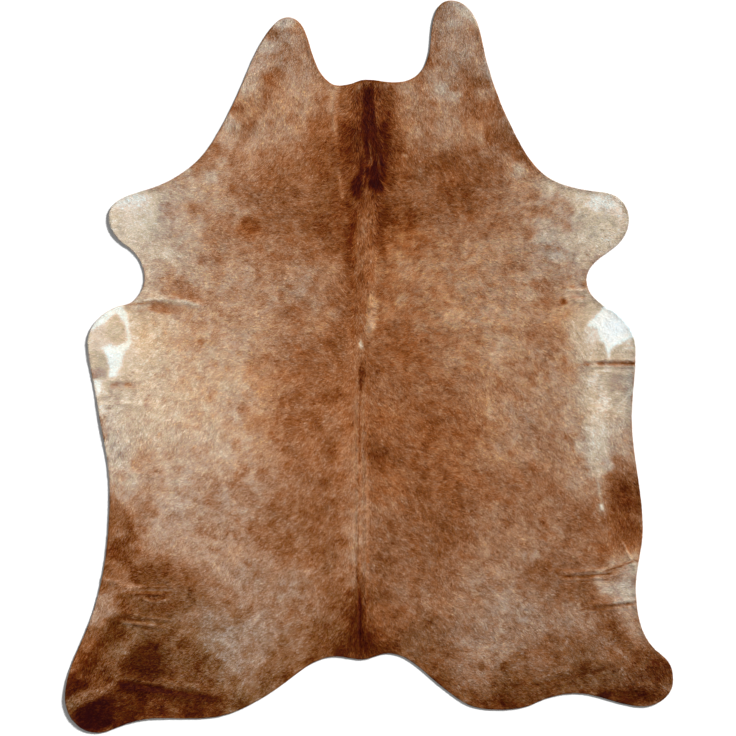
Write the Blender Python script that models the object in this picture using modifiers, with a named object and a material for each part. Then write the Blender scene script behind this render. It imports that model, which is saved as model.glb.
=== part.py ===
"""Cowhide rug: one whole hide, cut from one piece, lying flat on its suede side.

The hide is a single thin sheet.  Its underside is the plane z = 0 except where
a wrinkle or a lifted edge raises it, and its top follows the underside at one
thickness: the leather plus the hair lying flat on it.

Frame: +Z up, +Y towards the head end (the two ears), +X to the hide's right
side as seen from above.  The origin is on the floor, under the middle of the
hide's bounding box.  Units are metres.
"""
import math

import bmesh
import bpy
import numpy as np
from mathutils import Vector

# ---------------------------------------------------------------- dimensions
CM = 0.01
MM = 0.001

LEATHER_THICKNESS = 2.0 * MM        # tanned skin
COAT_HEIGHT = 3.0 * MM              # short hair lying flat on the skin
SHEET_THICKNESS = LEATHER_THICKNESS + COAT_HEIGHT

OUTLINE_STEPS = 6                   # straight pieces between two landmarks
LATTICE = 5.0 * CM                  # spacing of the cuts across the flat field
SNAP = 1.0 * MM                     # a cut this close to a vertex goes through it
FOLD_REACH = 3.0 * CM               # cuts made for a wrinkle stop this far out

# Landmarks round the cut edge, clockwise from above, starting at the root of
# the left ear.  x and y are in centimetres; heading is the direction in which
# the edge runs there, in degrees from +X towards +Y.
OUTLINE = (
    # landmark                    x       y    heading
    ("left ear outer root",    -46.9,   67.7,    58),
    ("left ear side",          -36.6,   88.4,    67),
    ("left ear shoulder",      -29.7,  101.4,    52),
    ("left ear tip",           -24.3,  105.0,     0),
    ("left ear inner side",    -18.8,   99.8,   -70),
    ("left ear inner root",    -11.4,   85.2,   -32),
    ("poll left",               -6.6,   84.8,    10),
    ("poll crest",              -0.9,   86.3,     0),
    ("poll right",               7.2,   85.5,    -1),
    ("right ear inner root",    15.3,   88.5,    48),
    ("right ear inner side",    18.6,   99.8,    85),
    ("right ear tip",           24.5,  110.0,     0),
    ("right ear shoulder",      31.2,  105.9,   -58),
    ("right ear side",          34.8,   93.8,   -76),
    ("right neck",              42.0,   73.7,   -64),
    ("right shoulder bay",      52.2,   58.1,   -40),
    ("right foreleg top",       66.3,   53.0,    -9),
    ("right foreleg shoulder",  75.2,   50.5,   -42),
    ("right foreleg toe",       77.9,   44.0,   -92),
    ("right foreleg heel",      73.2,   35.7,  -144),
    ("right armpit",            65.2,   26.0,   -88),
    ("right elbow root",        72.3,   17.4,   -27),
    ("right elbow",             79.9,    5.3,   -89),
    ("right waist",             78.8,  -14.3,   -91),
    ("right stifle",            82.1,  -48.2,   -90),
    ("right hock bay",          80.0,  -66.8,   -88),
    ("right hind shank",        85.2,  -83.9,   -47),
    ("right hind shoulder",     89.8,  -88.3,   -54),
    ("right hind toe",          91.1,  -93.8,   -91),
    ("right hind heel",         81.6, -101.6,  -181),
    ("right rump hollow",       61.5,  -97.7,  -178),
    ("right rump corner",       50.1, -100.5,  -154),
    ("right rump",              38.7, -102.6,  -181),
    ("right rump slope",        27.9, -100.1,  -213),
    ("right tail slope",        16.7,  -91.3,  -221),
    ("right of notch",           5.7,  -85.7,  -180),
    ("tail notch",              -2.3,  -87.5,  -180),
    ("left of notch",          -10.2,  -86.6,  -178),
    ("left tail slope",        -23.1,  -92.9,  -142),
    ("left rump",              -41.1, -103.5,  -160),
    ("left rump hollow",       -62.7, -105.1,  -180),
    ("left hind heel",         -75.0, -107.7,  -157),
    ("left hind toe",          -81.9, -109.5,  -183),
    ("left hind toe side",     -91.1,  -98.6,  -271),
    ("left hind shank",        -84.9,  -79.1,  -293),
    ("left stifle",            -77.8,  -36.8,  -270),
    ("left flank",             -81.4,  -11.4,  -261),
    ("left elbow",             -84.3,    6.8,  -267),
    ("left elbow root",        -75.9,   18.1,  -338),
    ("left elbow bay",         -70.5,   20.1,  -316),
    ("left armpit",            -67.3,   26.6,  -271),
    ("left foreleg heel",      -72.9,   36.6,  -214),
    ("left foreleg toe",       -78.0,   45.2,  -270),
    ("left foreleg top",       -65.7,   53.6,  -342),
)

# Wrinkles and long folds, in centimetres, with the height in millimetres.
# A ridge is one raised line; a valley is a groove with a raised lip along each
# side.  width is from the line to where the sheet is flat again, and bow is how
# far the middle of the line stands to the left of the straight run.
FOLDS = (
    # name                     kind      x0     y0     x1     y1    bow  height width
    ("neck ridge",            "ridge", -10.4,  85.0,  -8.1,  49.0,  0.6,  1.8,  1.4),
    ("withers band",          "ridge",  -0.6,  53.0,  -1.5,  18.5,  0.0,  2.0,  4.2),
    ("back ridge",            "ridge",   0.6,  24.0,   0.6,   8.0,  0.0,  1.8,  2.0),
    ("spine groove",          "valley", -2.5,   0.0,  -2.6, -89.0,  0.4,  1.8,  2.0),
    ("left armpit wrinkle",   "ridge", -73.5,  19.0, -47.5,  17.8,  2.0,  4.0,  2.0),
    ("left elbow streak",     "valley",-80.0,  -5.7, -65.5,  -5.0,  0.0,  1.6,  2.2),
    ("left flank wrinkle",    "ridge", -84.5, -11.0, -62.0, -11.6,  0.0,  2.2,  1.6),
    ("left belly wrinkle",    "ridge", -80.5, -31.4, -61.0, -32.6,  0.0,  1.8,  1.6),
    ("left stifle edge fold", "ridge", -82.0, -62.9, -73.5, -65.0,  0.0,  3.0,  1.4),
    ("left stifle wrinkle",   "valley",-76.0, -66.8, -59.0, -67.0,  0.0,  3.0,  1.9),
    ("left stifle hook",      "ridge", -70.0, -67.8, -59.5, -69.2, -1.6,  2.4,  1.3),
    ("left hock wrinkle",     "valley",-79.5, -74.2, -58.0, -77.8,  0.2,  3.0,  2.2),
    ("left shank fold",       "ridge", -91.5,-101.4, -77.5, -93.8,  0.6,  3.6,  3.0),
    ("left hind long fold",   "valley",-78.0, -94.0, -46.0, -99.0,  0.4,  2.8,  3.2),
    ("right armpit wrinkle",  "ridge",  57.0,  23.2,  67.5,  22.8,  0.0,  2.2,  1.2),
    ("right armpit tuck",     "ridge",  60.5,  19.7,  69.5,  20.5,  0.0,  2.2,  1.2),
    ("right elbow crease",    "valley", 62.0,   1.2,  83.0,   1.3,  0.0,  2.6,  1.7),
    ("right elbow line",      "ridge",  61.0,  -1.9,  83.0,  -1.9,  0.0,  1.4,  1.3),
    ("right belly line",      "ridge",  61.0, -29.6,  73.0, -29.1,  0.0,  1.2,  1.3),
    ("right stifle scar",     "ridge",  75.3, -51.5,  80.5, -62.0,  0.0,  2.2,  1.1),
    ("right stifle wrinkle",  "valley", 56.0, -62.8,  73.5, -61.8,  0.0,  3.2,  1.9),
    ("right stifle rise",     "valley", 70.5, -62.2,  83.5, -57.0, -0.4,  3.4,  1.8),
    ("right stifle tuck",     "ridge",  57.0, -59.6,  64.0, -57.3,  0.0,  1.8,  1.3),
    ("right hock crease",     "valley", 63.0, -72.2,  83.0, -70.4,  0.0,  2.8,  1.8),
    ("right hind long fold",  "valley", 46.5, -95.8,  77.5, -88.0,  0.0,  2.2,  2.4),
)

# Places on the cut edge that stand a little off the floor: x, y and radius in
# centimetres, lift in millimetres.
EDGE_LIFTS = (
    # name                      x       y   radius  lift
    ("left ear",              -24.0,  103.0,  10.0,  1.8),
    ("right ear",              25.0,  108.0,  11.0,  2.2),
    ("left foreleg",          -78.0,   43.0,  13.0,  3.0),
    ("left elbow",            -84.0,    8.0,  12.0,  2.6),
    ("left flank",            -80.5,  -18.0,  12.0,  1.8),
    ("left hind leg",         -90.0, -101.0,  15.0,  3.6),
    ("left rump",             -66.0, -105.0,  12.0,  2.4),
    ("left tail slope",       -24.0,  -93.5,  10.0,  1.6),
    ("right hind leg",         88.0,  -98.0,  12.0,  2.6),
)

HAIR_COLOUR = (0.33, 0.14, 0.06)    # red-brown roan, taken as one tone


# -------------------------------------------------------------------- helpers
def clear_scene():
    """Remove whatever the file opened with."""
    for ob in list(bpy.data.objects):
        bpy.data.objects.remove(ob, do_unlink=True)


def landmark(row):
    """Position and unit direction of an outline row, in metres."""
    _, x, y, heading = row
    a = math.radians(heading)
    return Vector((x * CM, y * CM, 0.0)), Vector((math.cos(a), math.sin(a), 0.0))


def handle_length(p0, d0, p1, d1):
    """Bezier handle that bends like an arc between two directions."""
    turn = d0.angle(d1, 0.0)
    return (p1 - p0).length / (3.0 * math.cos(turn / 4.0) ** 2)


def outline_curve(name):
    """The cut edge as a closed, filled 2D Bezier curve."""
    curve = bpy.data.curves.new(name, "CURVE")
    curve.dimensions = "2D"
    curve.fill_mode = "BOTH"
    curve.resolution_u = OUTLINE_STEPS
    spline = curve.splines.new("BEZIER")
    spline.bezier_points.add(len(OUTLINE) - 1)
    count = len(OUTLINE)
    for i, row in enumerate(OUTLINE):
        p, d = landmark(row)
        p_prev, d_prev = landmark(OUTLINE[i - 1])
        p_next, d_next = landmark(OUTLINE[(i + 1) % count])
        point = spline.bezier_points[i]
        point.handle_left_type = point.handle_right_type = "FREE"
        point.co = p
        point.handle_left = p - d * handle_length(p_prev, d_prev, p, d)
        point.handle_right = p + d * handle_length(p, d, p_next, d_next)
    spline.use_cyclic_u = True
    return curve


def fold_height(x, y):
    """How far the sheet stands off the floor at (x, y), in metres."""
    x = np.asarray(x, dtype=float)
    y = np.asarray(y, dtype=float)
    total = np.zeros_like(x)
    for name, kind, x0, y0, x1, y1, bow, height, width in FOLDS:
        ax, ay, bx, by = x0 * CM, y0 * CM, x1 * CM, y1 * CM
        length = math.hypot(bx - ax, by - ay)
        tx, ty = (bx - ax) / length, (by - ay) / length
        along = ((x - ax) * tx + (y - ay) * ty) / length
        u = np.clip(along, 0.0, 1.0)
        aside = (y - ay) * tx - (x - ax) * ty - bow * CM * 4.0 * u * (1.0 - u)
        t2 = np.clip((aside / (width * CM)) ** 2, 0.0, 1.0)
        across = (1.0 - t2) ** 2
        if kind == "valley":
            across = 6.75 * t2 * across
        end = np.clip(np.minimum(along, 1.0 - along) / 0.22, 0.0, 1.0)
        total = np.maximum(total, height * MM * across * end * end * (3.0 - 2.0 * end))
    for name, cx, cy, radius, lift in EDGE_LIFTS:
        r2 = ((x - cx * CM) ** 2 + (y - cy * CM) ** 2) / (radius * CM) ** 2
        total = total + lift * MM * (1.0 - np.clip(r2, 0.0, 1.0)) ** 2
    return total


def cut(bm, faces, point, normal):
    """Cut the given faces along the plane through point."""
    geom = set(faces)
    for face in faces:
        geom.update(face.edges)
        geom.update(face.verts)
    bmesh.ops.bisect_plane(bm, geom=list(geom), dist=SNAP,
                           plane_co=point, plane_no=normal)


def cut_field(bm):
    """Cut the whole field into a lattice."""
    xs = [v.co.x for v in bm.verts]
    ys = [v.co.y for v in bm.verts]
    for i in range(math.ceil(min(xs) / LATTICE), math.floor(max(xs) / LATTICE) + 1):
        cut(bm, bm.faces[:], Vector((i * LATTICE, 0, 0)), Vector((1, 0, 0)))
    for i in range(math.ceil(min(ys) / LATTICE), math.floor(max(ys) / LATTICE) + 1):
        cut(bm, bm.faces[:], Vector((0, i * LATTICE, 0)), Vector((0, 1, 0)))


def cut_folds(bm):
    """Add cuts along each wrinkle, so that its lips have their own edges."""
    for name, kind, x0, y0, x1, y1, bow, height, width in FOLDS:
        a = Vector((x0 * CM, y0 * CM, 0.0))
        b = Vector((x1 * CM, y1 * CM, 0.0))
        run = (b - a).normalized()
        side = Vector((-run.y, run.x, 0.0))
        length = (b - a).length
        middle = a + side * (bow * CM * 0.67)
        lines = (-1.0, -0.58, 0.0, 0.58, 1.0) if kind == "valley" else (-1.0, -0.4, 0.4, 1.0)
        for t in lines:
            near = []
            for face in bm.faces:
                rel = face.calc_center_median() - middle
                if (-0.5 * FOLD_REACH < rel.dot(run) < length + 0.5 * FOLD_REACH
                        and abs(rel.dot(side)) < width * CM + FOLD_REACH):
                    near.append(face)
            if near:
                cut(bm, near, middle + side * (t * width * CM), side)


def hair_material():
    mat = bpy.data.materials.new("hair_on_hide")
    mat.use_nodes = True
    shader = mat.node_tree.nodes["Principled BSDF"]
    shader.inputs["Base Color"].default_value = (*HAIR_COLOUR, 1.0)
    shader.inputs["Roughness"].default_value = 0.62
    shader.inputs["Metallic"].default_value = 0.0
    return mat


def build_hide(collection):
    """The one sheet: filled outline, cut field, raised wrinkles, thickness."""
    guide = bpy.data.objects.new("outline_guide", outline_curve("outline"))
    collection.objects.link(guide)
    bpy.context.view_layer.update()
    depsgraph = bpy.context.evaluated_depsgraph_get()
    mesh = bpy.data.meshes.new_from_object(guide.evaluated_get(depsgraph))
    bpy.data.objects.remove(guide, do_unlink=True)

    bm = bmesh.new()
    bm.from_mesh(mesh)
    bmesh.ops.remove_doubles(bm, verts=bm.verts[:], dist=0.00005)
    bmesh.ops.dissolve_faces(bm, faces=bm.faces[:], use_verts=False)
    cut_field(bm)
    cut_folds(bm)

    low_x, high_x = min(v.co.x for v in bm.verts), max(v.co.x for v in bm.verts)
    low_y, high_y = min(v.co.y for v in bm.verts), max(v.co.y for v in bm.verts)
    heights = fold_height([v.co.x for v in bm.verts], [v.co.y for v in bm.verts])
    for vert, z in zip(bm.verts, heights):
        vert.co.z = float(z)
        vert.co.x -= 0.5 * (low_x + high_x)
        vert.co.y -= 0.5 * (low_y + high_y)
    bmesh.ops.triangulate(bm, faces=bm.faces[:], quad_method="BEAUTY", ngon_method="BEAUTY")
    bmesh.ops.recalc_face_normals(bm, faces=bm.faces[:])
    if sum(f.normal.z * f.calc_area() for f in bm.faces) < 0.0:
        bmesh.ops.reverse_faces(bm, faces=bm.faces[:])
    bm.to_mesh(mesh)
    bm.free()

    mesh.name = "cowhide"
    hide = bpy.data.objects.new("cowhide", mesh)
    collection.objects.link(hide)
    mesh.materials.clear()
    mesh.materials.append(hair_material())
    mesh.shade_smooth()
    mesh.set_sharp_from_angle(angle=math.radians(40.0))
    solid = hide.modifiers.new("leather_and_hair", "SOLIDIFY")
    solid.thickness = SHEET_THICKNESS
    solid.offset = 1.0
    return hide


# ----------------------------------------------------------------------- main
clear_scene()
parts = bpy.data.collections.new("cowhide_rug")
bpy.context.scene.collection.children.link(parts)
build_hide(parts)
bpy.context.view_layer.update()
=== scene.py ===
"""Looks of the cowhide rug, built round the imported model.

One tanned hide lies flat, hair side up.  Its leather is a closed sheet with a
raw cut rim and a suede underside, and its coat is short hair in small locks
that lie along the growth of the coat.  The colour is a red-brown roan: pale on
the flanks, legs and ears, near black on the mane, the spine's end and the hind
legs, white at both elbows.

Tables are in centimetres on the hide as it lies, +x to its right and +y to the
head end; headings are in degrees from +x towards +y; tones say how light the
coat looks, from 0 for black to 255 for white.
"""

import math

import bpy
import numpy as np
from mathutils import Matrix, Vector, geometry


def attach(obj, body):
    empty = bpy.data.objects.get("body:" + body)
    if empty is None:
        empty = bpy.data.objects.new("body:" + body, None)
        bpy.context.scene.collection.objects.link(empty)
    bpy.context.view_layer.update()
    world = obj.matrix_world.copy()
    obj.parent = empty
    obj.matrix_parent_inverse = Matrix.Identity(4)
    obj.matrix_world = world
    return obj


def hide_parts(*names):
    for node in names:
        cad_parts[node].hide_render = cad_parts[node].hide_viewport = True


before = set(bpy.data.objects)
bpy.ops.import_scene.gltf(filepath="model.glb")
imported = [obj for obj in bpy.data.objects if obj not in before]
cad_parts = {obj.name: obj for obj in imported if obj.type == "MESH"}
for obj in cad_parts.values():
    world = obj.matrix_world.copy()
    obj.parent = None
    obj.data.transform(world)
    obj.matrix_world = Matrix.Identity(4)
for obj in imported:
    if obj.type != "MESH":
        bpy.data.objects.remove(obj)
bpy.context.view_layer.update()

# === fields (numpy only)
CM = 0.01
MM = 0.001

# ------------------------------------------------------------------ the shape
# The cut edge, clockwise from above, as in the solid: landmark, x, y, heading.
OUTLINE = (
    # landmark                    x       y    heading
    ("left ear outer root",    -46.9,   67.7,    58),
    ("left ear side",          -36.6,   88.4,    67),
    ("left ear shoulder",      -29.7,  101.4,    52),
    ("left ear tip",           -24.3,  105.0,     0),
    ("left ear inner side",    -18.8,   99.8,   -70),
    ("left ear inner root",    -11.4,   85.2,   -32),
    ("poll left",               -6.6,   84.8,    10),
    ("poll crest",              -0.9,   86.3,     0),
    ("poll right",               7.2,   85.5,    -1),
    ("right ear inner root",    15.3,   88.5,    48),
    ("right ear inner side",    18.6,   99.8,    85),
    ("right ear tip",           24.5,  110.0,     0),
    ("right ear shoulder",      31.2,  105.9,   -58),
    ("right ear side",          34.8,   93.8,   -76),
    ("right neck",              42.0,   73.7,   -64),
    ("right shoulder bay",      52.2,   58.1,   -40),
    ("right foreleg top",       66.3,   53.0,    -9),
    ("right foreleg shoulder",  75.2,   50.5,   -42),
    ("right foreleg toe",       77.9,   44.0,   -92),
    ("right foreleg heel",      73.2,   35.7,  -144),
    ("right armpit",            65.2,   26.0,   -88),
    ("right elbow root",        72.3,   17.4,   -27),
    ("right elbow",             79.9,    5.3,   -89),
    ("right waist",             78.8,  -14.3,   -91),
    ("right stifle",            82.1,  -48.2,   -90),
    ("right hock bay",          80.0,  -66.8,   -88),
    ("right hind shank",        85.2,  -83.9,   -47),
    ("right hind shoulder",     89.8,  -88.3,   -54),
    ("right hind toe",          91.1,  -93.8,   -91),
    ("right hind heel",         81.6, -101.6,  -181),
    ("right rump hollow",       61.5,  -97.7,  -178),
    ("right rump corner",       50.1, -100.5,  -154),
    ("right rump",              38.7, -102.6,  -181),
    ("right rump slope",        27.9, -100.1,  -213),
    ("right tail slope",        16.7,  -91.3,  -221),
    ("right of notch",           5.7,  -85.7,  -180),
    ("tail notch",              -2.3,  -87.5,  -180),
    ("left of notch",          -10.2,  -86.6,  -178),
    ("left tail slope",        -23.1,  -92.9,  -142),
    ("left rump",              -41.1, -103.5,  -160),
    ("left rump hollow",       -62.7, -105.1,  -180),
    ("left hind heel",         -75.0, -107.7,  -157),
    ("left hind toe",          -81.9, -109.5,  -183),
    ("left hind toe side",     -91.1,  -98.6,  -271),
    ("left hind shank",        -84.9,  -79.1,  -293),
    ("left stifle",            -77.8,  -36.8,  -270),
    ("left flank",             -81.4,  -11.4,  -261),
    ("left elbow",             -84.3,    6.8,  -267),
    ("left elbow root",        -75.9,   18.1,  -338),
    ("left elbow bay",         -70.5,   20.1,  -316),
    ("left armpit",            -67.3,   26.6,  -271),
    ("left foreleg heel",      -72.9,   36.6,  -214),
    ("left foreleg toe",       -78.0,   45.2,  -270),
    ("left foreleg top",       -65.7,   53.6,  -342),
)

# Wrinkles and long folds: name, kind, ends, bow, height in mm, half width.
FOLDS = (
    # name                     kind      x0     y0     x1     y1    bow  height width
    ("neck ridge",            "ridge", -10.4,  85.0,  -8.1,  49.0,  0.6,  1.8,  1.4),
    ("withers band",          "ridge",  -0.6,  53.0,  -1.5,  18.5,  0.0,  2.0,  4.2),
    ("back ridge",            "ridge",   0.6,  24.0,   0.6,   8.0,  0.0,  1.8,  2.0),
    ("spine groove",          "valley", -2.5,   0.0,  -2.6, -89.0,  0.4,  1.8,  2.0),
    ("left armpit wrinkle",   "ridge", -73.5,  19.0, -47.5,  17.8,  2.0,  4.0,  2.0),
    ("left elbow streak",     "valley",-80.0,  -5.7, -65.5,  -5.0,  0.0,  1.6,  2.2),
    ("left flank wrinkle",    "ridge", -84.5, -11.0, -62.0, -11.6,  0.0,  2.2,  1.6),
    ("left belly wrinkle",    "ridge", -80.5, -31.4, -61.0, -32.6,  0.0,  1.8,  1.6),
    ("left stifle edge fold", "ridge", -82.0, -62.9, -73.5, -65.0,  0.0,  3.0,  1.4),
    ("left stifle wrinkle",   "valley",-76.0, -66.8, -59.0, -67.0,  0.0,  3.0,  1.9),
    ("left stifle hook",      "ridge", -70.0, -67.8, -59.5, -69.2, -1.6,  2.4,  1.3),
    ("left hock wrinkle",     "valley",-79.5, -74.2, -58.0, -77.8,  0.2,  3.0,  2.2),
    ("left shank fold",       "ridge", -91.5,-101.4, -77.5, -93.8,  0.6,  3.6,  3.0),
    ("left hind long fold",   "valley",-78.0, -94.0, -46.0, -99.0,  0.4,  2.8,  3.2),
    ("right armpit wrinkle",  "ridge",  57.0,  23.2,  67.5,  22.8,  0.0,  2.2,  1.2),
    ("right armpit tuck",     "ridge",  60.5,  19.7,  69.5,  20.5,  0.0,  2.2,  1.2),
    ("right elbow crease",    "valley", 62.0,   1.2,  83.0,   1.3,  0.0,  2.6,  1.7),
    ("right elbow line",      "ridge",  61.0,  -1.9,  83.0,  -1.9,  0.0,  1.4,  1.3),
    ("right belly line",      "ridge",  61.0, -29.6,  73.0, -29.1,  0.0,  1.2,  1.3),
    ("right stifle scar",     "ridge",  75.3, -51.5,  80.5, -62.0,  0.0,  2.2,  1.1),
    ("right stifle wrinkle",  "valley", 56.0, -62.8,  73.5, -61.8,  0.0,  3.2,  1.9),
    ("right stifle rise",     "valley", 70.5, -62.2,  83.5, -57.0, -0.4,  3.4,  1.8),
    ("right stifle tuck",     "ridge",  57.0, -59.6,  64.0, -57.3,  0.0,  1.8,  1.3),
    ("right hock crease",     "valley", 63.0, -72.2,  83.0, -70.4,  0.0,  2.8,  1.8),
    ("right hind long fold",  "valley", 46.5, -95.8,  77.5, -88.0,  0.0,  2.2,  2.4),
)

# Finer creases of the hair side only: as above, and a dent is below zero.
CREASES = (
    # name                          x0     y0     x1     y1    bow height width
    ("left armpit crest",         -70.5,   19.6,  -48.6,   18.1,   1.5,   0.8,  0.78),
    ("left armpit under",         -70.5,   18.4,  -56.1,   16.9,   0.9,  -0.5,  0.78),
    ("left armpit line",          -71.1,   20.8,  -62.7,   21.8,   0.3,   0.3,  0.48),
    ("left elbow edge line",      -82.5,   -4.0,  -68.7,   -3.8,   0.0,   0.3,  0.48),
    ("left elbow streak",         -78.0,   -5.5,  -69.9,   -5.2,   0.0,  -0.5,  0.72),
    ("left belly line",           -80.7,  -11.2,  -68.7,  -10.7,   0.0,   0.7,  0.54),
    ("left belly line low",       -80.7,  -30.8,  -65.7,  -31.9,   0.0,   0.6,  0.54),
    ("left stifle light",         -80.4,  -63.1,  -74.7,  -64.3,   0.0,   0.9,  0.48),
    ("left stifle crease",        -73.5,  -67.3,  -60.3,  -67.3,   0.0,  -0.9,  0.45),
    ("left stifle lip",           -73.5,  -66.5,  -60.3,  -66.5,   0.0,   0.7,  0.42),
    ("left stifle hook",          -69.0,  -68.2,  -60.3,  -68.8,  -1.8,   0.8,  0.42),
    ("left hock crease",          -77.7,  -75.1,  -66.9,  -76.3,   0.0,  -1.0,  0.48),
    ("left hock lip",             -75.9,  -76.6,  -59.1,  -77.8,   0.1,   0.9,  0.48),
    ("left shank crest",          -91.5, -102.1,  -75.6,  -94.3,  -0.9,   1.3,  0.90),
    ("left hind shelf",           -75.9,  -93.8,  -44.7,  -98.8,  -0.6,  -1.0,  0.90),
    ("left hind shelf lip",       -75.9,  -92.5,  -44.7,  -97.3,  -0.6,   0.8,  0.78),
    ("right armpit line a",        58.5,   22.9,   65.7,   23.2,   0.0,   0.4,  0.45),
    ("right armpit line b",        60.3,   21.1,   65.7,   21.1,   0.0,  -0.3,  0.42),
    ("right elbow crease",         66.3,    1.1,   80.7,    1.1,   0.0,  -0.9,  0.60),
    ("right elbow lip",            66.3,   -0.1,   80.7,   -0.1,   0.0,   0.2,  0.54),
    ("right elbow line",           64.8,   -1.6,   80.7,   -1.6,   0.0,  -0.4,  0.42),
    ("right elbow diagonal",       79.5,   -5.8,   73.2,  -13.3,   0.0,   0.4,  0.60),
    ("right belly line",           62.7,  -29.2,   71.7,  -28.9,   0.0,   0.7,  0.42),
    ("right stifle scar",          69.3,  -40.4,   70.2,  -44.5,   0.0,   0.7,  0.45),
    ("right stifle scar low",      75.6,  -51.8,   80.1,  -61.9,   0.3,   0.7,  0.42),
    ("right stifle crease",        56.1,  -62.8,   73.8,  -61.9,  -0.3,  -1.2,  0.51),
    ("right stifle lip",           57.3,  -61.3,   73.8,  -60.4,  -0.3,   0.7,  0.48),
    ("right stifle rise",          69.3,  -62.2,   81.0,  -57.8,   0.3,  -1.0,  0.45),
    ("right hock crease",          61.5,  -73.3,   80.7,  -70.6,   0.0,  -1.1,  0.48),
    ("right hock lip",             66.3,  -71.5,   80.7,  -69.5,   0.0,   0.7,  0.48),
    ("neck ridge",                 -9.9,   83.8,   -7.8,   49.4,  -1.5,   1.3,  0.66),
    ("back ridge",                  0.0,   23.2,    0.3,    9.4,   0.0,   1.0,  0.90),
    ("spine groove",               -3.0,  -58.3,   -2.7,  -87.1,   0.0,  -0.9,  0.54),
)

# Places on the cut edge that stand a little off the floor; lift in mm.
EDGE_LIFTS = (
    # name                      x       y   radius  lift
    ("left ear",              -24.0,  103.0,  10.0,  1.8),
    ("right ear",              25.0,  108.0,  11.0,  2.2),
    ("left foreleg",          -78.0,   43.0,  13.0,  3.0),
    ("left elbow",            -84.0,    8.0,  12.0,  2.6),
    ("left flank",            -80.5,  -18.0,  12.0,  1.8),
    ("left hind leg",         -90.0, -101.0,  15.0,  3.6),
    ("left rump",             -66.0, -105.0,  12.0,  2.4),
    ("left tail slope",       -24.0,  -93.5,  10.0,  1.6),
    ("right hind leg",         88.0,  -98.0,  12.0,  2.6),
)

# --------------------------------------------------------------- the markings
# Tone of the coat where no patch says otherwise.
BASE_TONE = 113

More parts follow.
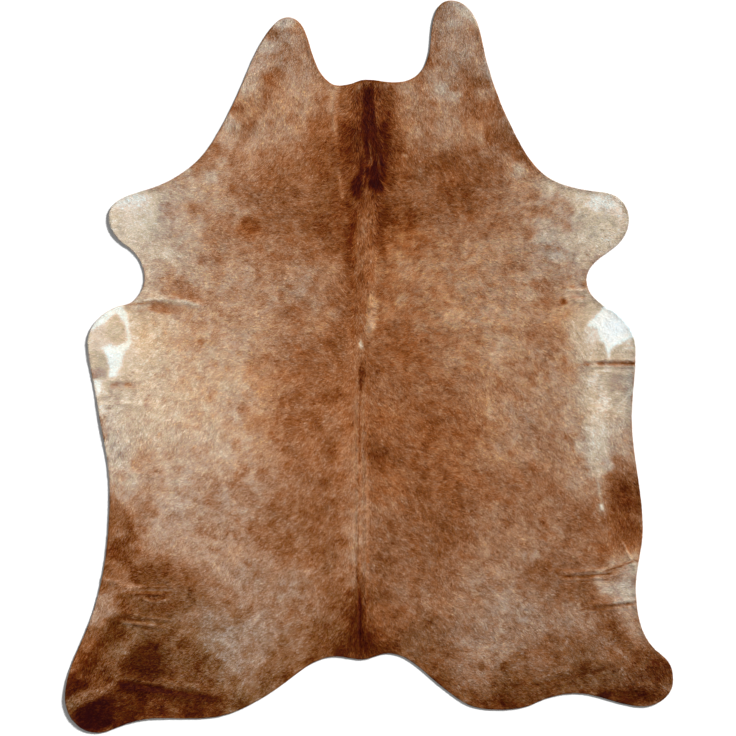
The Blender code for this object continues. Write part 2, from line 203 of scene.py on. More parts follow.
# Patches of lighter and darker hair, painted one over the other: half widths
# along and across the angle, tone, strength, and softness of the border.
# The few on the armpit and elbow wrinkles are painted highlight and shade.
PATCHES = (
    # name                          x      y     rx    ry  angle tone strength soft
    ("left flank",                -79.2,   -8.2,  45.6,  45.0,    0,  186, 1.00, 0.32),
    ("left flank upper",          -46.2,   20.2,  22.5,  15.6,  -10,  148, 0.90, 0.60),
    ("left flank inner",          -44.1,   -9.8,  12.0,  28.5,    0,  159, 0.70, 0.70),
    ("left flank low",            -53.7,  -39.8,  27.0,  18.0,  -20,  157, 0.90, 0.60),
    ("left thigh upper",          -49.2,  -53.2,  18.0,  13.5,  -35,  140, 0.90, 0.60),
    ("left thigh band",           -34.2,  -69.1,  12.0,  11.4,  -60,  132, 0.90, 0.60),
    ("left rump pale",            -37.8,  -86.2,  10.2,   8.4,  -50,  133, 0.90, 0.50),
    ("right body upper",           39.3,   20.2,  28.5,  27.0,    0,  143, 0.90, 0.60),
    ("right body middle",          45.3,   -9.8,  17.4,  22.5,    0,  136, 0.90, 0.60),
    ("right flank",                69.3,   -8.2,  12.0,  31.5,    0,  158, 1.00, 0.45),
    ("right flank low",            66.3,  -30.8,   9.0,  12.0,  -20,  145, 0.80, 0.60),
    ("right of spine",             13.8,  -17.2,  17.4,  40.5,    0,  103, 0.95, 0.45),
    ("right loin",                 21.3,  -53.2,  18.0,  18.0,    0,   97, 0.70, 0.70),
    ("left of spine",             -15.3,  -15.8,  12.0,  24.0,    0,  110, 0.90, 0.55),
    ("left loin",                 -22.2,  -47.2,  12.6,  11.4,    0,  103, 0.80, 0.60),
    ("right thigh pale",           39.9,  -70.3,  13.8,  17.4,    5,  129, 0.90, 0.60),
    ("right thigh pale low",       31.8,  -87.8,   7.8,   7.8,  -60,  127, 0.90, 0.60),
    ("left ear",                  -27.3,   83.2,  25.5,  14.4,   70,  134, 1.00, 0.40),
    ("right ear",                  26.7,   86.2,  27.0,  12.6,  -80,  132, 1.00, 0.40),
    ("left shoulder",             -21.3,   51.8,  18.6,  13.2,    0,  106, 1.00, 0.40),
    ("left withers",              -10.2,   45.8,   7.5,  13.5,    0,   82, 0.80, 0.60),
    ("right shoulder",             24.9,   55.0,  23.4,  12.0,    0,   95, 1.00, 0.35),
    ("right withers",               9.3,   44.9,   7.2,   9.0,    0,   74, 0.80, 0.60),
    ("mane side left",             -9.3,   65.2,   7.8,  12.6,    0,   83, 0.90, 0.60),
    ("mane",                       -0.9,   68.8,   7.8,  18.6,    0,   63, 1.00, 0.35),
    ("mane side right",            10.5,   65.2,   3.6,  13.5,    0,   99, 0.70, 0.80),
    ("left ear tip",              -24.6,  104.2,   4.5,   2.4,    0,  175, 1.00, 0.60),
    ("left ear outer spot",       -28.8,  100.0,   2.4,   1.8,    0,  109, 1.00, 0.50),
    ("left ear outer pale",       -30.9,   96.1,   3.3,   1.8,    0,  167, 0.90, 0.50),
    ("left ear edge pale",        -35.1,   87.1,   6.6,   2.4,   68,  159, 0.90, 0.60),
    ("left ear edge pale rim",    -37.8,   82.6,   4.8,   0.9,   68,  168, 0.80, 0.60),
    ("left ear rust upper",       -27.9,   88.0,   2.7,   1.8,    0,  104, 0.90, 0.60),
    ("left ear rust lower",       -30.0,   83.2,   3.3,   1.8,   80,   99, 0.90, 0.60),
    ("left ear inner pale",       -20.7,   83.2,   4.8,   4.2,   90,  148, 0.90, 0.70),
    ("left ear inner edge",       -16.5,   93.1,  10.2,   2.1,  -64,  119, 0.90, 0.60),
    ("left ear middle streak",    -36.0,   72.5,   6.6,   1.5,   62,  118, 0.80, 0.60),
    ("left ear edge rust",        -39.6,   77.5,   2.1,   2.1,    0,   99, 1.00, 0.50),
    ("left ear edge strip",       -42.3,   71.8,   5.1,   2.4,   62,  153, 1.00, 0.50),
    ("left neck pale",            -31.5,   72.5,   3.6,   2.4,   60,  151, 0.80, 0.60),
    ("left neck pale low",        -34.5,   66.5,   3.6,   2.4,   45,  152, 0.80, 0.60),
    ("left neck middle",          -26.7,   72.8,   7.8,   6.6,    0,  145, 0.50, 0.70),
    ("left neck edge rust",       -46.8,   65.0,   2.7,   2.7,    0,  118, 1.00, 0.50),
    ("left neck edge rust low",   -49.2,   60.8,   3.9,   1.5,   20,  128, 0.80, 0.50),
    ("left neck inner",           -15.3,   70.6,   4.2,   5.4,   70,  112, 0.70, 0.60),
    ("left neck lobe",            -19.8,   59.8,   3.6,   4.8,    0,  117, 0.60, 0.60),
    ("neck ridge pale top",       -11.1,   83.2,   2.1,   2.4,    0,  140, 0.70, 0.60),
    ("neck ridge pale middle",    -11.7,   79.0,   1.5,   3.0,    0,  144, 0.60, 0.60),
    ("shoulder front left",       -37.8,   55.6,   5.4,   3.6,  -20,  110, 0.80, 0.70),
    ("left shoulder edge pale",   -48.3,   57.1,   9.0,   2.4,   12,  156, 1.00, 0.60),
    ("left shoulder fade",        -38.7,   59.8,   6.0,   4.2,  -40,  127, 0.70, 0.70),
    ("left shoulder low fade",    -32.1,   37.4,  12.0,   2.7,   -5,  134, 0.70, 0.70),
    ("left shoulder spot a",      -25.8,   53.2,   2.7,   3.6,    0,   95, 0.70, 0.60),
    ("left shoulder spot b",      -18.3,   49.9,   1.8,   2.1,    0,  119, 0.70, 0.60),
    ("left foreleg root",         -59.1,   47.9,  12.6,  10.8,    0,  166, 1.00, 0.50),
    ("left foreleg beige",        -61.2,   36.8,  10.2,   8.4,  -20,  168, 0.90, 0.60),
    ("left foreleg cream",        -72.3,   46.4,   9.0,   7.8,  -10,  203, 1.00, 0.45),
    ("left foreleg white",        -72.3,   50.5,   7.2,   2.4,    8,  224, 0.90, 0.60),
    ("left foreleg low",          -71.7,   37.0,   5.4,   3.6,  -40,  190, 0.80, 0.60),
    ("left foreleg blotch",       -51.9,   47.9,   2.7,   2.4,    0,  118, 1.00, 0.50),
    ("left foreleg ring",         -59.1,   47.9,   4.2,   2.4,  -20,  143, 0.70, 0.60),
    ("left shoulder blotch",      -45.3,   40.6,   4.8,   3.0,   10,  125, 0.90, 0.60),
    ("left shoulder pale band",   -43.5,   48.8,   9.6,   2.1,  -14,  155, 0.90, 0.60),
    ("left shoulder pale spot",   -53.1,   38.9,   2.4,   1.5,    0,  165, 0.70, 0.60),
    ("left armpit rust",          -55.8,   23.2,   5.4,   3.0,  -20,  131, 0.90, 0.50),
    ("left armpit beige",         -68.1,   27.8,   3.6,   8.4,    0,  182, 0.90, 0.60),
    # painted highlight on the left armpit wrinkle's crest and painted shade in the dent below it
    ("left armpit ridge",         -61.2,   20.2,   6.6,   1.2,  -10,  174, 0.90, 0.60),
    ("left armpit dark",          -62.1,   17.8,   3.6,   1.5,    0,  120, 1.00, 0.50),
    ("left armpit dark tail",     -56.7,   16.9,   3.6,   1.2,   -8,  145, 0.80, 0.60),
    ("left chest pale streak",    -49.2,   25.1,   6.6,   1.2,  -30,  159, 0.70, 0.60),
    ("left chest blotch",         -45.9,   33.1,   4.8,   2.7,    0,  124, 0.90, 0.60),
    ("left chest blotch b",       -47.1,   20.8,   2.7,   1.8,    0,  133, 0.70, 0.60),
    ("left chest pale",           -38.7,   27.8,   4.2,   4.2,   60,  149, 0.70, 0.60),
    ("left elbow tan",            -65.7,   11.2,   9.0,   6.6,   10,  176, 0.90, 0.50),
    ("left elbow beige",          -78.3,    6.8,   9.6,  13.2,    0,  206, 1.00, 0.40),
    ("left elbow edge beige",     -81.3,    7.6,   2.4,   4.2,    0,  206, 1.00, 0.50),
    ("left elbow grey",           -80.7,    0.4,   2.1,   3.6,    0,  186, 1.00, 0.50),
    ("left elbow grey edge",      -82.2,   -1.3,   1.5,   2.4,    0,  154, 0.90, 0.60),
    ("left elbow pale bit",       -81.0,   -5.2,   1.5,   1.8,    0,  213, 0.90, 0.50),
    ("left elbow pale bit low",   -79.8,  -12.2,   1.5,   1.8,    0,  210, 0.90, 0.50),
    ("left elbow shade",          -74.1,   -5.5,   4.2,   1.5,    0,  161, 0.90, 0.60),
    ("left belly pale",           -67.2,    4.6,   4.8,   5.4,  -30,  201, 0.80, 0.60),
    ("left belly pale b",         -72.0,  -10.0,   3.0,   1.8,    5,  198, 0.80, 0.60),
    ("left belly rust a",         -55.5,    6.8,   3.6,   1.5,  -10,  156, 0.80, 0.60),
    ("left belly rust b",         -56.1,   -1.3,   4.2,   2.7,  -20,  163, 0.80, 0.70),
    ("left belly strip",          -75.3,  -18.8,   4.8,  11.4,   -5,  185, 0.90, 0.50),
    ("left belly dark",           -66.6,  -30.8,   3.0,   7.8,    0,  147, 0.90, 0.60),
    ("left belly olive",          -80.1,  -19.3,   1.8,   3.6,    0,  149, 1.00, 0.50),
    ("left belly strip low",      -74.1,  -33.1,   4.5,   7.2,   10,  171, 0.90, 0.50),
    ("left belly pale low",       -56.7,  -37.4,   3.6,   6.6,  -10,  159, 0.80, 0.60),
    ("left side blotch a",        -48.3,  -34.4,   4.2,   3.0,    0,  137, 0.80, 0.60),
    ("left side pale a",          -41.1,  -25.3,   2.4,   3.0,    0,  172, 0.70, 0.60),
    ("left side dark a",          -42.3,  -17.8,   2.1,   2.1,    0,  147, 0.70, 0.60),
    ("left side dark b",          -51.9,    6.8,   3.0,   2.1,    0,  143, 0.70, 0.60),
    ("left side dark c",          -49.8,   12.4,   2.4,   1.5,    0,  141, 0.70, 0.60),
    ("left side bay a",           -38.7,  -30.8,   2.4,   4.8,    0,  131, 0.60, 0.70),
    ("left side step",            -30.3,  -30.1,   3.6,   4.8,  -40,  128, 0.60, 0.70),
    ("left stifle",               -75.3,  -50.2,   6.0,  10.2,   15,   89, 1.00, 0.45),
    ("left stifle lower",         -64.2,  -63.8,  13.8,   7.2,  -10,   90, 1.00, 0.45),
    ("left stifle core",          -72.6,  -50.5,   1.8,   6.0,  -10,   83, 0.90, 0.60),
    ("left stifle core low",      -76.8,  -55.6,   4.8,   2.4,    0,   71, 0.90, 0.60),
    ("left stifle pale",          -76.2,  -49.0,   1.8,   1.8,    0,  110, 0.80, 0.60),
    ("left hock dark",            -64.2,  -63.1,   4.2,   2.7,   10,   77, 0.80, 0.60),
    ("left stifle inner",         -68.7,  -57.8,   2.4,   3.0,    0,  108, 0.70, 0.70),
    ("left hock",                 -73.2,  -77.2,  18.6,  13.8,  -10,   83, 1.00, 0.40),
    ("left hock inner",           -53.7,  -72.8,   7.8,   6.6,  -30,   92, 0.80, 0.70),
    ("left hock edge pale",       -80.4,  -72.1,   4.8,   6.6,   15,  118, 1.00, 0.40),
    ("left hock edge dip",        -77.7,  -61.3,   4.2,   2.7,  -30,   95, 0.80, 0.60),
    ("left stripe dark",          -81.0,  -84.8,  11.4,   2.4,   50,   55, 1.00, 0.50),
    ("left stripe dark top",      -75.3,  -78.1,   3.6,   3.0,   40,   67, 0.90, 0.60),
    ("left stripe pale",          -76.5,  -84.8,   5.4,   2.7,   40,   87, 0.90, 0.60),
    ("left shank edge",           -85.8,  -86.2,   9.0,   1.8,   58,   86, 1.00, 0.50),
    ("left shank edge rim",       -86.7,  -84.8,  10.2,   0.9,   60,  111, 0.80, 0.60),
    ("left hind brown",           -56.1,  -91.3,   6.0,   7.8,    0,   74, 0.90, 0.60),
    ("left hind pale blotch",     -70.8,  -78.8,   2.4,   3.0,    0,   99, 0.80, 0.60),
    ("left hind dark",            -66.9,  -89.0,   7.2,   6.0,  -40,   53, 1.00, 0.50),
    ("left hind dark low",        -68.7,  -96.8,   9.0,   3.6,    0,   43, 1.00, 0.50),
    ("left hind toe",             -79.2, -103.3,  13.2,   5.4,   -5,   37, 1.00, 0.45),
    ("left hind toe side",        -87.9,  -96.1,   3.6,   4.2,   45,   49, 1.00, 0.50),
    ("left hind ridge",           -83.1,  -96.8,   7.2,   1.5,   18,   82, 1.00, 0.60),
    ("left hind ridge pale",      -87.3,  -99.8,   3.0,   1.8,   15,   88, 0.90, 0.60),
    ("left hind knee",            -83.7,  -90.1,   3.0,   2.4,   45,   44, 0.80, 0.60),
    ("left hind middle",          -76.2,  -90.1,   4.2,   3.0,   20,   57, 0.80, 0.60),
    ("left hind band",            -57.3,  -99.1,  12.0,   3.0,   -8,   56, 1.00, 0.60),
    ("left hind band low",        -53.1, -103.3,   6.6,   2.4,    0,   45, 1.00, 0.60),
    ("left hind band spot",       -62.7, -103.0,   1.5,   1.8,    0,   39, 0.80, 0.60),
    ("left hind heel spot",       -58.2, -101.5,   2.4,   1.8,    0,   62, 0.70, 0.60),
    ("left rump edge",            -41.1,  -99.8,   7.8,   3.6,   20,   83, 0.90, 0.60),
    ("left rump inner",           -49.2,  -91.3,   3.0,   7.8,   10,   69, 0.70, 0.70),
    ("left rump top",             -44.1,  -71.5,   7.8,   2.1,  -15,  107, 0.90, 0.60),
    ("left rump pale b",          -49.2,  -75.1,   6.6,   2.7,    0,  122, 0.80, 0.70),
    ("left rump pale c",          -35.1,  -76.3,   4.2,   2.1,   25,  135, 0.80, 0.60),
    ("left rump edge b",          -27.3,  -90.8,   7.8,   3.6,   35,   85, 0.90, 0.60),
    ("left rump edge c",          -19.2,  -84.1,   7.8,   3.6,   25,  100, 0.80, 0.70),
    ("left rump notch",           -35.7,  -93.8,   3.0,   4.8,    0,  113, 0.70, 0.70),
    ("left rump dip",             -38.1,  -74.0,   3.0,   1.8,    0,  108, 0.70, 0.60),
    ("left rump spot",            -35.1,  -84.8,   3.6,   1.8,    0,  109, 0.70, 0.70),
    ("left back pale a",          -20.7,   27.8,   5.4,   4.2,    0,  145, 0.80, 0.60),
    ("left back rust a",          -22.5,   16.9,   3.6,   3.0,    0,  115, 0.90, 0.60),
    ("left back bay",             -15.3,   23.2,   4.2,   4.2,    0,  138, 0.60, 0.70),
    ("left back dark edge",       -20.7,   35.9,   7.8,   3.0,  -12,  116, 0.70, 0.70),
    ("left back pale edge",       -34.2,   30.8,   3.6,   3.0,    0,  142, 0.50, 0.70),
    ("left spine dark a",          -9.9,    7.6,   3.0,   3.0,    0,   90, 0.90, 0.60),
    ("left spine dark b",         -10.8,   -8.2,   3.6,   2.7,    0,   87, 0.90, 0.60),
    ("left spine dark c",          -7.2,   -1.3,   2.4,   3.6,    0,   92, 0.80, 0.60),
    ("left spine dark d",         -12.3,  -24.8,   2.7,   3.6,    0,   89, 0.80, 0.60),
    ("left spine pale a",         -17.1,   -0.1,   3.0,   3.6,    0,  108, 0.70, 0.60),
    ("left spine pale b",          -9.9,  -14.2,   2.7,   2.4,    0,  119, 0.80, 0.60),
    ("left spine pale c",          -4.2,  -24.8,   3.0,   6.6,   10,  124, 0.70, 0.70),
    ("left spine pale d",          -3.9,  -35.2,   2.4,   3.6,    0,  128, 0.80, 0.60),
    ("left spine pale e",          -4.5,  -47.2,   3.0,   7.2,  -20,  134, 0.90, 0.60),
    ("left spine pale f",          -6.3,  -57.8,   3.0,   6.0,  -15,  127, 0.90, 0.60),
    ("left spine dark e",         -12.3,  -41.2,   3.0,   3.6,  -20,   97, 0.80, 0.60),
    ("left spine dark f",         -12.9,  -55.4,   4.8,   4.2,    0,   97, 0.90, 0.60),
    ("left spine dark g",         -12.3,  -66.8,   2.4,   2.4,    0,   98, 0.80, 0.60),
    ("left loin dark a",          -27.3,  -44.2,   4.2,   3.0,    0,   98, 0.90, 0.60),
    ("left loin dark b",          -27.3,  -51.8,   4.8,   3.0,    0,   96, 0.80, 0.60),
    ("left loin pale a",          -20.1,  -38.2,   1.8,   1.8,    0,  112, 0.60, 0.60),
    ("left loin rust",            -34.2,  -48.8,   2.7,   3.0,    0,  106, 0.60, 0.70),
    ("left loin under",           -25.2,  -60.8,  10.2,   3.0,    0,  127, 0.70, 0.60),
    ("left loin spot",            -18.9,  -66.1,   1.8,   2.1,    0,  107, 0.80, 0.60),
    ("left loin pale b",          -16.5,  -69.8,   2.4,   4.2,    0,  126, 0.70, 0.60),
    ("left spine dark h",          -7.2,  -71.2,   5.4,   6.6,   20,   89, 0.90, 0.60),
    ("left flank nip",            -10.2,  -33.8,   3.6,   3.6,    0,  100, 0.60, 0.70),
    ("left side spot low",        -30.3,  -37.4,   1.8,   1.5,    0,  139, 0.60, 0.60),
    ("withers band",               -1.2,   38.2,   3.0,  13.8,    0,   95, 0.90, 0.60),
    ("withers band top",           -2.4,   48.8,   2.4,   3.0,    0,   72, 0.80, 0.60),
    ("withers dark left low",      -5.1,   27.8,   1.8,   7.8,    0,   80, 0.90, 0.70),
    ("withers dark right low",      4.5,   36.4,   2.4,   4.8,    0,   76, 0.80, 0.70),
    ("withers right patch",         9.3,   32.2,   3.6,   7.2,    0,  127, 0.80, 0.60),
    ("withers right dark",          4.5,   23.8,   2.4,   3.0,    0,   97, 0.90, 0.60),
    ("withers right dark b",       13.8,   36.8,   5.4,   2.4,    5,   96, 0.80, 0.60),
    ("back pale ridge",             0.6,   16.1,   1.5,   7.8,    4,  134, 0.90, 0.60),
    ("back beside ridge",          -4.2,   20.2,   3.6,   7.8,    0,   98, 0.80, 0.70),
    ("back pale left",             -3.6,    6.8,   2.1,   4.2,    0,  125, 0.70, 0.60),
    ("back right dark",             1.5,   -0.8,   3.0,   6.6,    0,   94, 0.80, 0.70),
    ("spine pale right",           -0.9,  -44.2,   1.2,  10.2,    0,  131, 0.80, 0.70),
    ("spine low dark",             -3.3,  -78.1,   4.2,  11.4,    0,   52, 1.00, 0.60),
    ("spine low dark left",        -7.2,  -83.2,   3.6,   4.2,    0,   47, 0.90, 0.60),
    ("spine low dark right",        0.9,  -83.2,   3.6,   4.8,    0,   45, 0.90, 0.60),
    ("spine low fade left",       -12.3,  -81.8,   4.8,   6.0,  -30,   67, 0.70, 0.70),
    ("spine low fade right",        6.9,  -81.8,   4.8,   6.6,   30,   67, 0.70, 0.70),
    ("spine low fade top",          0.9,  -69.8,   4.8,   5.4,    0,   78, 0.80, 0.70),
    ("tail notch edge left",       -6.9,  -86.8,   2.1,   1.5,    0,   65, 0.60, 0.60),
    ("right loin edge",            18.3,  -86.2,   7.8,   4.2,  -35,   86, 0.90, 0.60),
    ("right loin low",             18.3,  -78.8,   6.0,   4.8,  -20,   88, 0.80, 0.70),
    ("right loin low b",           23.7,  -90.8,   3.6,   6.6,  -20,   78, 0.90, 0.60),
    ("right ear tip pale",         29.4,  106.6,   6.0,   2.1,  -52,  175, 1.00, 0.60),
    ("right ear tip inner",        26.7,  103.0,   3.0,   1.5,    0,  159, 0.80, 0.60),
    ("right ear dark corner",      20.4,  107.5,   2.4,   2.4,    0,  105, 0.90, 0.60),
    ("right ear grey",             27.9,  100.3,   4.2,   2.7,    0,  131, 0.70, 0.70),
    ("right ear inner edge",       18.3,   95.8,   6.6,   1.8,   82,  120, 0.90, 0.60),
    ("right ear inner root",       15.0,   86.2,   2.4,   2.4,    0,  100, 0.90, 0.60),
    ("right ear middle",           27.9,   94.6,   5.4,   3.6,    0,  143, 0.60, 0.70),
    ("right ear rust",             29.4,   89.2,   2.7,   2.7,    0,  110, 0.90, 0.60),
    ("right ear rust streak",      32.7,   85.3,   4.2,   1.8,    5,   96, 0.90, 0.60),
    ("right ear pale",             21.6,   83.2,   4.5,   3.6,  -20,  150, 0.90, 0.60),
    ("right ear edge pale",        36.0,   89.8,   4.8,   1.2,  -75,  162, 0.90, 0.60),
    ("right ear edge pale low",    38.1,   83.0,   2.4,   1.5,  -70,  151, 0.80, 0.60),
    ("right ear low pale",         33.3,   80.8,   3.0,   1.5,  -10,  130, 0.70, 0.60),
    ("right ear rust patch",       34.5,   76.6,   6.6,   3.0,    0,   99, 0.90, 0.50),
    ("right neck edge",            42.9,   74.2,   4.2,   1.5,  -65,  122, 0.80, 0.60),
    ("right neck dark streak",     36.6,   69.5,   2.4,   3.0,    0,   98, 0.80, 0.60),
    ("right neck edge dark",       42.9,   66.5,   7.2,   4.2,  -50,   99, 0.90, 0.50),
    ("right neck pink band",       12.6,   78.5,   2.4,  10.2,   -5,  136, 0.70, 0.60),
    ("right neck low tongue",      12.9,   68.2,   1.8,   3.6,    0,  129, 0.70, 0.60),
    ("right neck low",             16.8,   67.6,   4.8,   1.8,    0,  121, 0.70, 0.70),
    ("right neck pale a",          21.3,   71.8,   4.2,   3.0,    0,  142, 0.60, 0.70),
    ("right neck edge top",         9.9,   85.0,   3.0,   1.2,    0,  125, 0.60, 0.70),
    ("mane crest right",            6.3,   81.8,   3.0,   4.2,    0,   84, 0.60, 0.70),
    ("right neck bay",             35.1,   64.6,   1.8,   2.4,    0,  122, 0.80, 0.60),
    ("right shoulder dark a",      22.8,   61.6,   4.2,   3.6,   10,   77, 0.90, 0.60),
    ("right shoulder dark b",      24.9,   52.6,   6.0,   4.2,    0,   80, 0.90, 0.60),
    ("right shoulder dark c",      34.5,   59.8,   3.6,   3.0,    0,   85, 0.80, 0.60),
    ("right shoulder dark d",      11.1,   45.8,   4.2,   3.6,    0,   76, 0.90, 0.60),
    ("right shoulder light a",     16.5,   51.4,   3.6,   4.8,  -30,  106, 0.90, 0.60),
    ("right shoulder light b",     11.7,   55.6,   4.2,   9.0,   20,   89, 0.60, 0.80),
    ("right shoulder edge",        39.3,   53.2,   5.4,   7.2,    0,  108, 0.80, 0.70),
    ("right shoulder pale",        45.0,   58.9,   4.2,   3.0,    0,  144, 1.00, 0.50),
    ("right shoulder pale low",    47.7,   53.9,   3.6,   4.8,  -60,  145, 0.70, 0.70),
    ("right shoulder low",         47.7,   47.9,   7.8,   3.0,    0,  132, 0.80, 0.60),
    ("right shoulder low b",       51.3,   44.9,   4.8,   2.4,    0,  127, 0.70, 0.60),
    ("right shoulder low c",       33.9,   40.9,   3.6,   2.7,    0,  114, 0.80, 0.60),
    ("right shoulder low d",       40.8,   43.6,   6.0,   2.7,    0,  120, 0.60, 0.60),
    ("right body fade",            25.8,   40.6,  12.0,   3.0,    3,  111, 0.60, 0.80),
    ("right foreleg root",         58.8,   48.8,   9.6,  10.2,    0,  159, 0.90, 0.50),
    ("right foreleg",              69.3,   41.9,  10.8,  10.8,    0,  177, 1.00, 0.45),
    ("right foreleg top",          70.5,   49.6,   7.8,   3.0,   -8,  202, 1.00, 0.50),
    ("right foreleg tip",          76.5,   46.0,   2.4,   4.8,   10,  192, 0.90, 0.60),
    ("right foreleg top edge",     55.8,   54.1,   4.8,   2.4,  -15,  172, 0.90, 0.60),
    ("right foreleg notch",        55.2,   47.9,   4.8,   2.4,    0,  138, 0.80, 0.60),
    ("right foreleg pale",         69.3,   38.2,   4.2,   2.4,   10,  183, 0.70, 0.60),
    ("right foreleg low pale",     52.8,   38.9,   3.6,   1.8,    5,  164, 0.80, 0.60),
    ("right foreleg heel",         64.8,   31.6,   3.6,   4.8,  -30,  161, 0.90, 0.60),
    ("right chest rust",           54.6,   24.8,   4.8,   5.4,   10,  125, 0.90, 0.50),
    ("right chest rust core",      54.0,   23.2,   1.8,   3.0,   10,  109, 0.70, 0.60),
    ("right chest pale",           47.1,   23.2,   2.1,   3.6,   10,  149, 0.90, 0.60),
    ("right chest dark a",         42.3,   30.8,   4.2,   3.6,    0,  116, 0.80, 0.60),
    ("right chest dark b",         40.8,   20.2,   4.2,   2.4,    0,  119, 0.70, 0.60),
    ("right chest dark c",         49.8,   15.8,   3.6,   3.6,    0,  123, 0.80, 0.60),
    ("right chest low dark",       51.3,    8.2,   7.8,   3.6,    0,  117, 0.80, 0.60),
    ("right chest edge",           63.3,   20.2,   4.2,   6.0,    0,  144, 0.90, 0.60),
    ("right body dark a",          16.8,   23.2,   6.0,   3.0,    0,  117, 0.80, 0.60),
    ("right body dark b",          21.3,   29.8,   9.0,   4.2,    0,  120, 0.60, 0.70),
    ("right body pale a",          26.7,   14.2,   6.6,   3.0,  -30,  144, 0.70, 0.60),
    ("right body pale b",          33.9,   31.6,   5.4,   3.6,  -40,  134, 0.50, 0.70),
    ("right body dark c",          20.7,   11.2,   3.0,   2.4,    0,  110, 0.80, 0.60),
    ("right body dark d",          25.8,    3.8,   2.4,   3.0,    0,  119, 0.70, 0.60),
    ("right body pale c",          41.7,    5.8,   7.2,   3.0,    0,  147, 0.90, 0.60),
    ("right body pale d",          18.3,   14.8,   4.2,   3.0,    0,  138, 0.50, 0.70),
    ("right body dark e",           9.3,   10.7,   4.8,   3.0,    0,   99, 0.80, 0.60),
    ("right body dark f",          14.1,    3.4,   4.2,   3.6,    0,   91, 0.90, 0.60),
    ("right body dark g",          31.5,   10.3,   2.4,   2.7,    0,  119, 0.60, 0.60),
    ("right body rim",             23.7,   -1.3,   2.4,   2.4,    0,  129, 0.60, 0.70),
    ("right elbow beige",          66.3,   11.2,   7.2,  12.0,   10,  175, 1.00, 0.50),
    ("right elbow tan low",        72.9,    1.6,   8.4,   4.2,    0,  174, 1.00, 0.50),
    # painted shade in the right elbow crease
    ("right elbow crease shade",   76.5,    1.3,   4.2,   1.2,    0,  133, 0.90, 0.60),
    ("right elbow crease left",    69.3,    1.3,   2.4,   1.2,    0,  138, 0.80, 0.60),
    ("right elbow cream",          68.4,   -8.2,   5.4,   8.4,   -5,  189, 1.00, 0.50),
    ("right elbow cream core",     69.9,  -11.5,   2.1,   3.0,    0,  204, 0.90, 0.60),
    ("right elbow tan patch",      73.8,   -4.6,   2.4,   2.7,    0,  154, 0.90, 0.60),
    ("right elbow edge brown",     78.0,   -8.5,   1.8,   4.2,    0,  149, 0.90, 0.60),
    ("right elbow diagonal",       76.2,  -10.0,   4.2,   1.2,   50,  176, 0.80, 0.60),
    ("right belly strip",          68.1,  -21.1,   4.2,   7.8,    0,  194, 0.90, 0.50),
    ("right belly edge",           75.9,  -23.6,   4.8,   4.8,    0,  156, 0.90, 0.60),
    ("right belly strip low",      68.7,  -31.3,   3.0,   5.4,  -10,  182, 0.90, 0.60),
    ("right belly inner",          61.8,  -18.8,   3.0,  15.0,    0,  141, 0.60, 0.70),
    ("right side dark a",          55.8,  -26.2,   4.2,   3.0,    0,  115, 0.80, 0.60),
    ("right side dark b",          51.3,  -21.8,   4.8,   3.6,    0,  126, 0.70, 0.60),
    ("right side pale a",          45.3,  -17.2,   4.2,   5.4,    0,  138, 0.70, 0.60),
    ("right side dark c",          59.7,   -2.2,   2.4,   3.6,    0,  134, 0.60, 0.60),
    ("right side dark d",          41.7,   -5.2,   2.4,   2.4,    0,  120, 0.70, 0.60),
    ("right side low",             42.3,  -33.1,   9.0,   4.2,    0,  106, 0.90, 0.60),
    ("right side low b",           51.3,  -33.1,   6.0,   3.6,    0,  114, 0.80, 0.60),
    ("right side pale b",          36.3,  -24.8,   3.0,   3.0,    0,  138, 0.70, 0.60),
    ("right side dark e",          32.1,  -18.8,   2.4,   3.6,    0,  110, 0.70, 0.60),
    ("right back dark a",           2.4,  -26.2,   3.6,   5.4,   10,   81, 0.90, 0.60),
    ("right back dark b",          19.5,  -18.8,   4.2,   4.2,    0,   90, 0.80, 0.60),
    ("right back dark c",          17.7,  -12.2,   3.0,   2.4,    0,   92, 0.70, 0.60),
    ("right back dark d",          15.3,  -33.8,   3.6,   4.2,    0,   86, 0.90, 0.60),
    ("right back dark e",          24.3,  -36.8,   3.6,   3.6,    0,   86, 0.80, 0.60),
    ("right back dark f",          21.3,  -47.2,   6.6,   5.4,  -20,   90, 0.90, 0.60),
    ("right back light a",         10.8,  -41.2,   3.6,   6.0,    0,  102, 0.70, 0.60),
    ("right back light b",         15.3,   -7.3,   6.0,   2.4,    0,  107, 0.60, 0.70),
    ("right back light c",          9.3,  -23.2,   4.8,   3.0,    0,   97, 0.50, 0.70),
    ("right back dark g",           4.8,  -59.2,   2.7,   4.2,    0,   86, 0.90, 0.60),
    ("right back light d",         11.7,  -60.8,   3.0,   5.4,    0,  112, 0.80, 0.60),
    ("right back dark h",           7.8,  -50.2,   2.4,   2.4,    0,   95, 0.70, 0.60),
    ("right back light e",         18.9,  -68.2,   4.2,   3.0,    0,  113, 0.70, 0.60),
    ("right back dark i",          14.7,  -66.1,   1.8,   2.4,    0,   99, 0.60, 0.60),
    ("right back edge",            30.3,   -9.8,   3.6,   9.0,    0,  117, 0.60, 0.70),
    ("right back light f",         30.3,  -33.8,   4.8,   3.0,    0,  103, 0.60, 0.70),
    ("right back light g",         36.3,  -43.4,   3.6,   3.0,    0,  123, 0.80, 0.60),
    ("right back light h",          4.8,  -41.2,   3.6,   4.2,    0,  114, 0.80, 0.60),
    ("right stifle brown",         69.3,  -45.8,  12.0,  10.8,    0,   97, 0.90, 0.60),
    ("right stifle swirl",         68.7,  -40.4,   2.4,   4.2,    0,  130, 0.90, 0.60),
    ("right stifle swirl low",     69.3,  -49.4,   2.1,   2.4,    0,  119, 0.80, 0.60),
    ("right stifle light",         63.9,  -37.4,   4.2,   4.2,    0,  140, 0.80, 0.60),
    ("right stifle dark",          76.5,  -37.6,   5.1,   9.6,   12,   79, 1.00, 0.45),
    ("right stifle dark core",     76.2,  -37.9,   2.7,   4.2,    0,   62, 0.80, 0.60),
    ("right stifle orange",        77.7,  -48.8,   4.2,   3.6,    0,   79, 0.90, 0.60),
